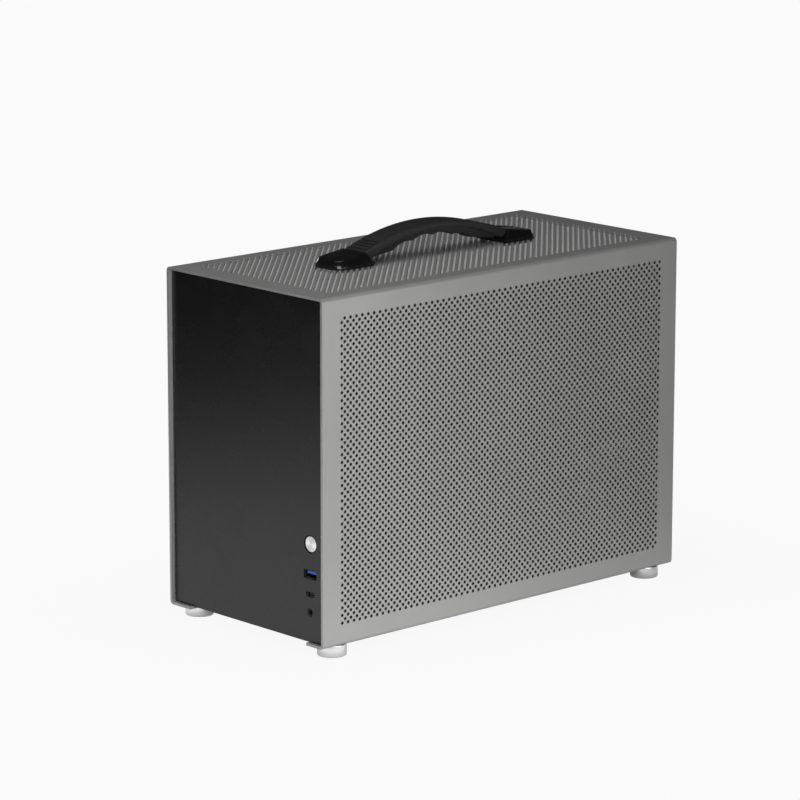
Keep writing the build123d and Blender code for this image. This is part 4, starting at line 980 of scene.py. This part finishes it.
def build_feet():
    for row, y in (("front", -FOOT_Y), ("rear", FOOT_Y)):
        for column, x in (("left", -FOOT_X), ("right", FOOT_X)):
            place = f"{row}_{column}"
            points, faces = spin(FOOT_PROFILE, FOOT_STEPS, lambda a, b, h, x=x, y=y: (x + a, y + b, h))
            finish = finish_turned(
                f"foot_metal_{place}", 0.92, 0.22, (x * MM, y * MM, 0.0), (1.0, 1.0, 0.0), 0.0003, 0.75)
            piece = make_piece(f"turned_foot_{place}", points, faces, finish, "sleeve")
            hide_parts(f"foot_{place}")


build_feet()

# %% [markdown]
# ## The grip
#
# The grip is an arched slab over a narrow rib. Its top has a matte inlay with a fine groove along each
# long edge and four cross grooves at each end, and the rib is scalloped for four fingers. It is lofted:
# a half section is written as a list of points, and at each station along the arch it is fitted between
# the upper arc, the lower arc and the scallops.

# %% The two arcs and the scalloped line
GRIP_END, GRIP_END_H, GRIP_RISE = 69.0, 9.5, 13.5
LOW_END, LOW_START_H, SLAB_MID_T = 65.8, 3.0, 4.2
SCALLOP_PITCH, SCALLOP_RISE = 20.4, 2.1
CUSP_HEIGHTS = (6.6, 11.2, 13.2, 11.2, 6.6)
RIB_END, RIB_END_H = 63.0, 3.6


def arc_height(y, end, end_h, crown_h):
    """Height of the arc through (-end, end_h), (0, crown_h) and (end, end_h)."""
    rise = crown_h - end_h
    radius = (end ** 2 + rise ** 2) / (2 * rise)
    return crown_h - radius + math.sqrt(radius ** 2 - y ** 2)


def top_height(y):
    return arc_height(y, GRIP_END, GRIP_END_H, GRIP_END_H + GRIP_RISE)


def slab_underside(y):
    return arc_height(y, LOW_END, LOW_START_H, GRIP_END_H + GRIP_RISE - SLAB_MID_T)


def rib_underside(y):
    """The scalloped line, one shallow arch for each finger."""
    reach = abs(y)
    outer_cusp = 2 * SCALLOP_PITCH
    if reach >= outer_cusp:
        share = min(1.0, (reach - outer_cusp) / (RIB_END - outer_cusp))
        return CUSP_HEIGHTS[0] + (RIB_END_H - CUSP_HEIGHTS[0]) * share
    cell = min(1, int(reach / SCALLOP_PITCH))
    share = reach / SCALLOP_PITCH - cell
    low, high = CUSP_HEIGHTS[2 + cell], CUSP_HEIGHTS[min(4, 3 + cell)]
    return low + (high - low) * share + SCALLOP_RISE * 4 * share * (1 - share)


print("grip crown", round(top_height(0), 2), "rib middle", round(rib_underside(0), 2))

# %% Stations along the grip and the half section at each
GROOVE_FIRST, GROOVE_PITCH, GROOVE_HALF, GROOVE_DEPTH = 65.8, 3.6, 0.65, 0.7
GRIP_HALF_W, RIB_HALF_W = 11.5, 7.0
INLAY = ((0.0, 0.02), (4.0, 0.04), (8.0, 0.10), (8.8, 0.12))
INLAY_EDGE = ((9.0, 0.12), (9.4, 0.13), (9.48, 0.50), (9.9, 0.50), (9.98, 0.10), (10.4, 0.14))
SHOULDER = ((10.85, 0.38), (11.2, 0.75), (11.42, 1.25), (GRIP_HALF_W, 1.8))
STATION_STEP = 1.5
CORNER_RUN, CORNER_LIFT = 3.0, 0.45
RIB_GAP = 0.3


def grip_stations():
    """Places along the grip, with extra ones at the flanks of each cross groove."""
    places = {round(-GRIP_END + STATION_STEP * k, 3) for k in range(int(2 * GRIP_END / STATION_STEP) + 1)}
    grooves = [GROOVE_FIRST - k * GROOVE_PITCH for k in range(4)]
    for g in grooves:
        places = {p for p in places if abs(abs(p) - g) > GROOVE_HALF + 0.3}
        for edge in (-GROOVE_HALF, -GROOVE_HALF + 0.25, GROOVE_HALF - 0.25, GROOVE_HALF):
            places |= {round(g + edge, 3), round(-g - edge, 3)}
    places |= {round(s * k * SCALLOP_PITCH, 3) for s in (-1, 1) for k in range(3)}
    return sorted(places), grooves


def groove_drop(y, grooves):
    return GROOVE_DEPTH if any(abs(abs(y) - g) < GROOVE_HALF - 0.2 for g in grooves) else 0.0


def half_section(y, grooves):
    """Half of the closed section as triples: x, share of the way down the slab, and height."""
    top = top_height(y)
    ruled = y * LOW_END / GRIP_END
    low = slab_underside(ruled)
    rounding = max(0.0, (abs(y) - (GRIP_END - CORNER_RUN)) / CORNER_RUN)
    low += (top - low) * CORNER_LIFT * (1 - math.sqrt(1 - min(1.0, rounding) ** 2))
    drop = groove_drop(y, grooves)
    rib = min(rib_underside(y), low - RIB_GAP) if abs(y) < RIB_END else low - RIB_GAP
    thick = top - low
    line = [(x, depth + drop) for x, depth in INLAY] + list(INLAY_EDGE) + list(SHOULDER)
    line += [(GRIP_HALF_W, thick - 1.0), (11.35, thick - 0.5), (10.9, thick - 0.12), (10.4, thick)]
    section = [(x, n / thick, top - n) for x, n in line]
    section += [(RIB_HALF_W + 0.4, 1.0, low), (RIB_HALF_W, 1.0, low - 0.25), (RIB_HALF_W, 1.0, rib + 0.9)]
    section += [(RIB_HALF_W - 0.3, 1.0, rib + 0.3), (RIB_HALF_W - 0.9, 1.0, rib), (0.0, 1.0, rib)]
    return section


# %% Loft the grip


def build_grip():
    stations, grooves = grip_stations()
    points, faces = [], []
    for y in stations:
        half = half_section(y, grooves)
        mirrored = [(-x, share, height) for x, share, height in reversed(half[1:-1])]
        for x, share, height in half + mirrored:
            y_here = y + (y * LOW_END / GRIP_END - y) * min(1.0, share)
            points.append((x, y_here, SLEEVE_TOP + height))
    ring = len(points) // len(stations)
    for s in range(len(stations) - 1):
        for k in range(ring):
            a, b = s * ring + k, s * ring + (k + 1) % ring
            faces.append((a, b, b + ring, a + ring))
    faces.append(tuple(range(ring))[::-1])
    faces.append(tuple(range(len(points) - ring, len(points))))
    piece = make_piece("grip_body", points, faces, GRIP_FINISH, "sleeve")
    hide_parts("handle_grip")


build_grip()

# %% [markdown]
# ## The handle's caps
#
# A cap hides the screws and the flat end of the grip. It is a low step with a tapered block on it whose
# top slopes down to a round nose. Its edges are slightly rounded, because an edge of moulded plastic
# is never sharp and because only a rounded edge catches the light. It is stacked from outlines that
# shrink as they go up. All outlines have the same number of points, so they join without seams.

# %% One outline of the cap at a given height
CAP_NOSE, CAP_INNER = 98.0, 64.3
CAP_HALF_W, CAP_STEP_H, CAP_NOSE_H = 15.0, 3.0, 5.7
CAP_CORNER_R, CAP_DRAFT = 9.0, math.tan(math.radians(22))
LEAN_START, LEAN_RATE = 65.95, 3.2 / 6.5
CORNER_STEPS = 14


def inner_edge(height):
    """How far out the cap's inner end lies, following the leaning end of the grip."""
    if height <= CAP_STEP_H:
        return CAP_INNER
    return LEAN_START + LEAN_RATE * (height - CAP_STEP_H)


def cap_ring(inset, height_at):
    """An outline as points, nose first. height_at gives a point's height from its distance out."""
    half, nose = CAP_HALF_W - inset, CAP_NOSE - inset
    radius = max(0.8, CAP_CORNER_R - inset)
    flat = []
    for sign, order in ((1, 1), (-1, -1)):
        corner = []
        for k in range(CORNER_STEPS + 1):
            angle = math.pi / 2 * k / CORNER_STEPS
            across = half - radius + radius * math.cos(angle)
            corner.append((sign * across, nose - radius + radius * math.sin(angle)))
        flat += corner[::order]
    ring = [(x, out, height_at(out)) for x, out in flat]
    start = inner_edge(height_at(LEAN_START))
    return [(half, start, height_at(start))] + ring + [(-half, start, height_at(start))]


def level(height):
    """A flat step of the cap."""
    return lambda out: height


def slope(drop):
    """The sloping top of the cap, lowered by drop."""
    rise = (GRIP_END_H - CAP_NOSE_H) / (CAP_NOSE - GRIP_END)
    return lambda out: CAP_NOSE_H + rise * (CAP_NOSE - out) - drop


# %% Stack the outlines into a cap
CAP_STEPS = ((0.0, 0.0), (0.0, 2.4), (0.12, 2.8), (0.4, 3.0), (0.95, 3.0), (1.05, 3.15))
CAP_EDGE = ((0.6, 1.0), (0.28, 1.06), (0.08, 1.24), (0.0, 1.55))
CAP_DRAFT_AT = CAP_NOSE - 4.0


def build_cap(name, node, sign):
    rings = [cap_ring(inset, level(height)) for inset, height in CAP_STEPS]
    for drop, inset in CAP_EDGE:
        height_at = slope(drop)
        rings.append(cap_ring(inset + CAP_DRAFT * (height_at(CAP_DRAFT_AT) - CAP_STEP_H), height_at))
    points = [(x, sign * out, SLEEVE_TOP + height) for ring in rings for x, out, height in ring]
    count = len(rings[0])
    faces = []
    for r in range(len(rings) - 1):
        for k in range(count):
            a, b = r * count + k, r * count + (k + 1) % count
            faces.append((a, b, b + count, a + count))
    top = (len(rings) - 1) * count
    half = count // 2
    for k in range(half - 1):
        faces.append((top + k, top + k + 1, top + count - 2 - k, top + count - 1 - k))
    faces.append(tuple(range(count))[::-1])
    if sign < 0:
        faces = turned(faces)
    piece = make_piece(name, points, faces, CAP_FINISH, "sleeve")
    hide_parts(node)


build_cap("cap_front", "handle_cap_front", -1)
build_cap("cap_rear", "handle_cap_rear", 1)

# %% [markdown]
# ## The power button
#
# The button is a bright disc, turned flat, with shallow rings and a small dimple at its middle where
# the tool ended. The rings are real steps in the profile. It rides on the button's own body, so it
# sinks into the panel when it is pressed.

# %% Spin the button
PORT_X, BUTTON_Z = 65.9, 80.6
BUTTON_FACE, BUTTON_R, BUTTON_T = -169.7, 5.6, 3.0
STEM_R, STEM_END = 3.0, 12.0
CLIP_START, CLIP_T, CLIP_DEPTH = 10.58, 0.8, 0.6
RING_FIRST, RING_PITCH, RING_COUNT = 0.9, 0.55, 8
BUTTON_STEPS = 96


def button_profile():
    """From the middle of the face out over its rings, round the rim and back along the stem."""
    profile = [(0.0, 0.22), (0.25, 0.2), (0.42, 0.08), (0.5, 0.0)]
    for k in range(RING_COUNT):
        radius = RING_FIRST + RING_PITCH * k
        profile += [(radius, 0.0), (radius + 0.1, 0.035), (radius + 0.2, 0.0)]
    profile += [(5.35, 0.0), (5.5, 0.05), (5.57, 0.13), (BUTTON_R, 0.25), (BUTTON_R, BUTTON_T - 0.2)]
    profile += [(BUTTON_R - 0.2, BUTTON_T), (STEM_R, BUTTON_T), (STEM_R, CLIP_START)]
    profile += [(STEM_R - CLIP_DEPTH, CLIP_START), (STEM_R - CLIP_DEPTH, CLIP_START + CLIP_T)]
    return profile + [(STEM_R, CLIP_START + CLIP_T), (STEM_R, STEM_END), (0.0, STEM_END)]


def build_button():
    points, faces = spin(
        button_profile(), BUTTON_STEPS, lambda a, b, h: (PORT_X + a, BUTTON_FACE + h, BUTTON_Z + b))
    finish = finish_turned(
        "button_metal", 0.99, 0.16, (PORT_X * MM, 0.0, BUTTON_Z * MM), (1.0, 0.0, 1.0), 0.00022, 0.0)
    piece = make_piece("button_disc", points, faces, finish, "button")
    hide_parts("power_button")


build_button()
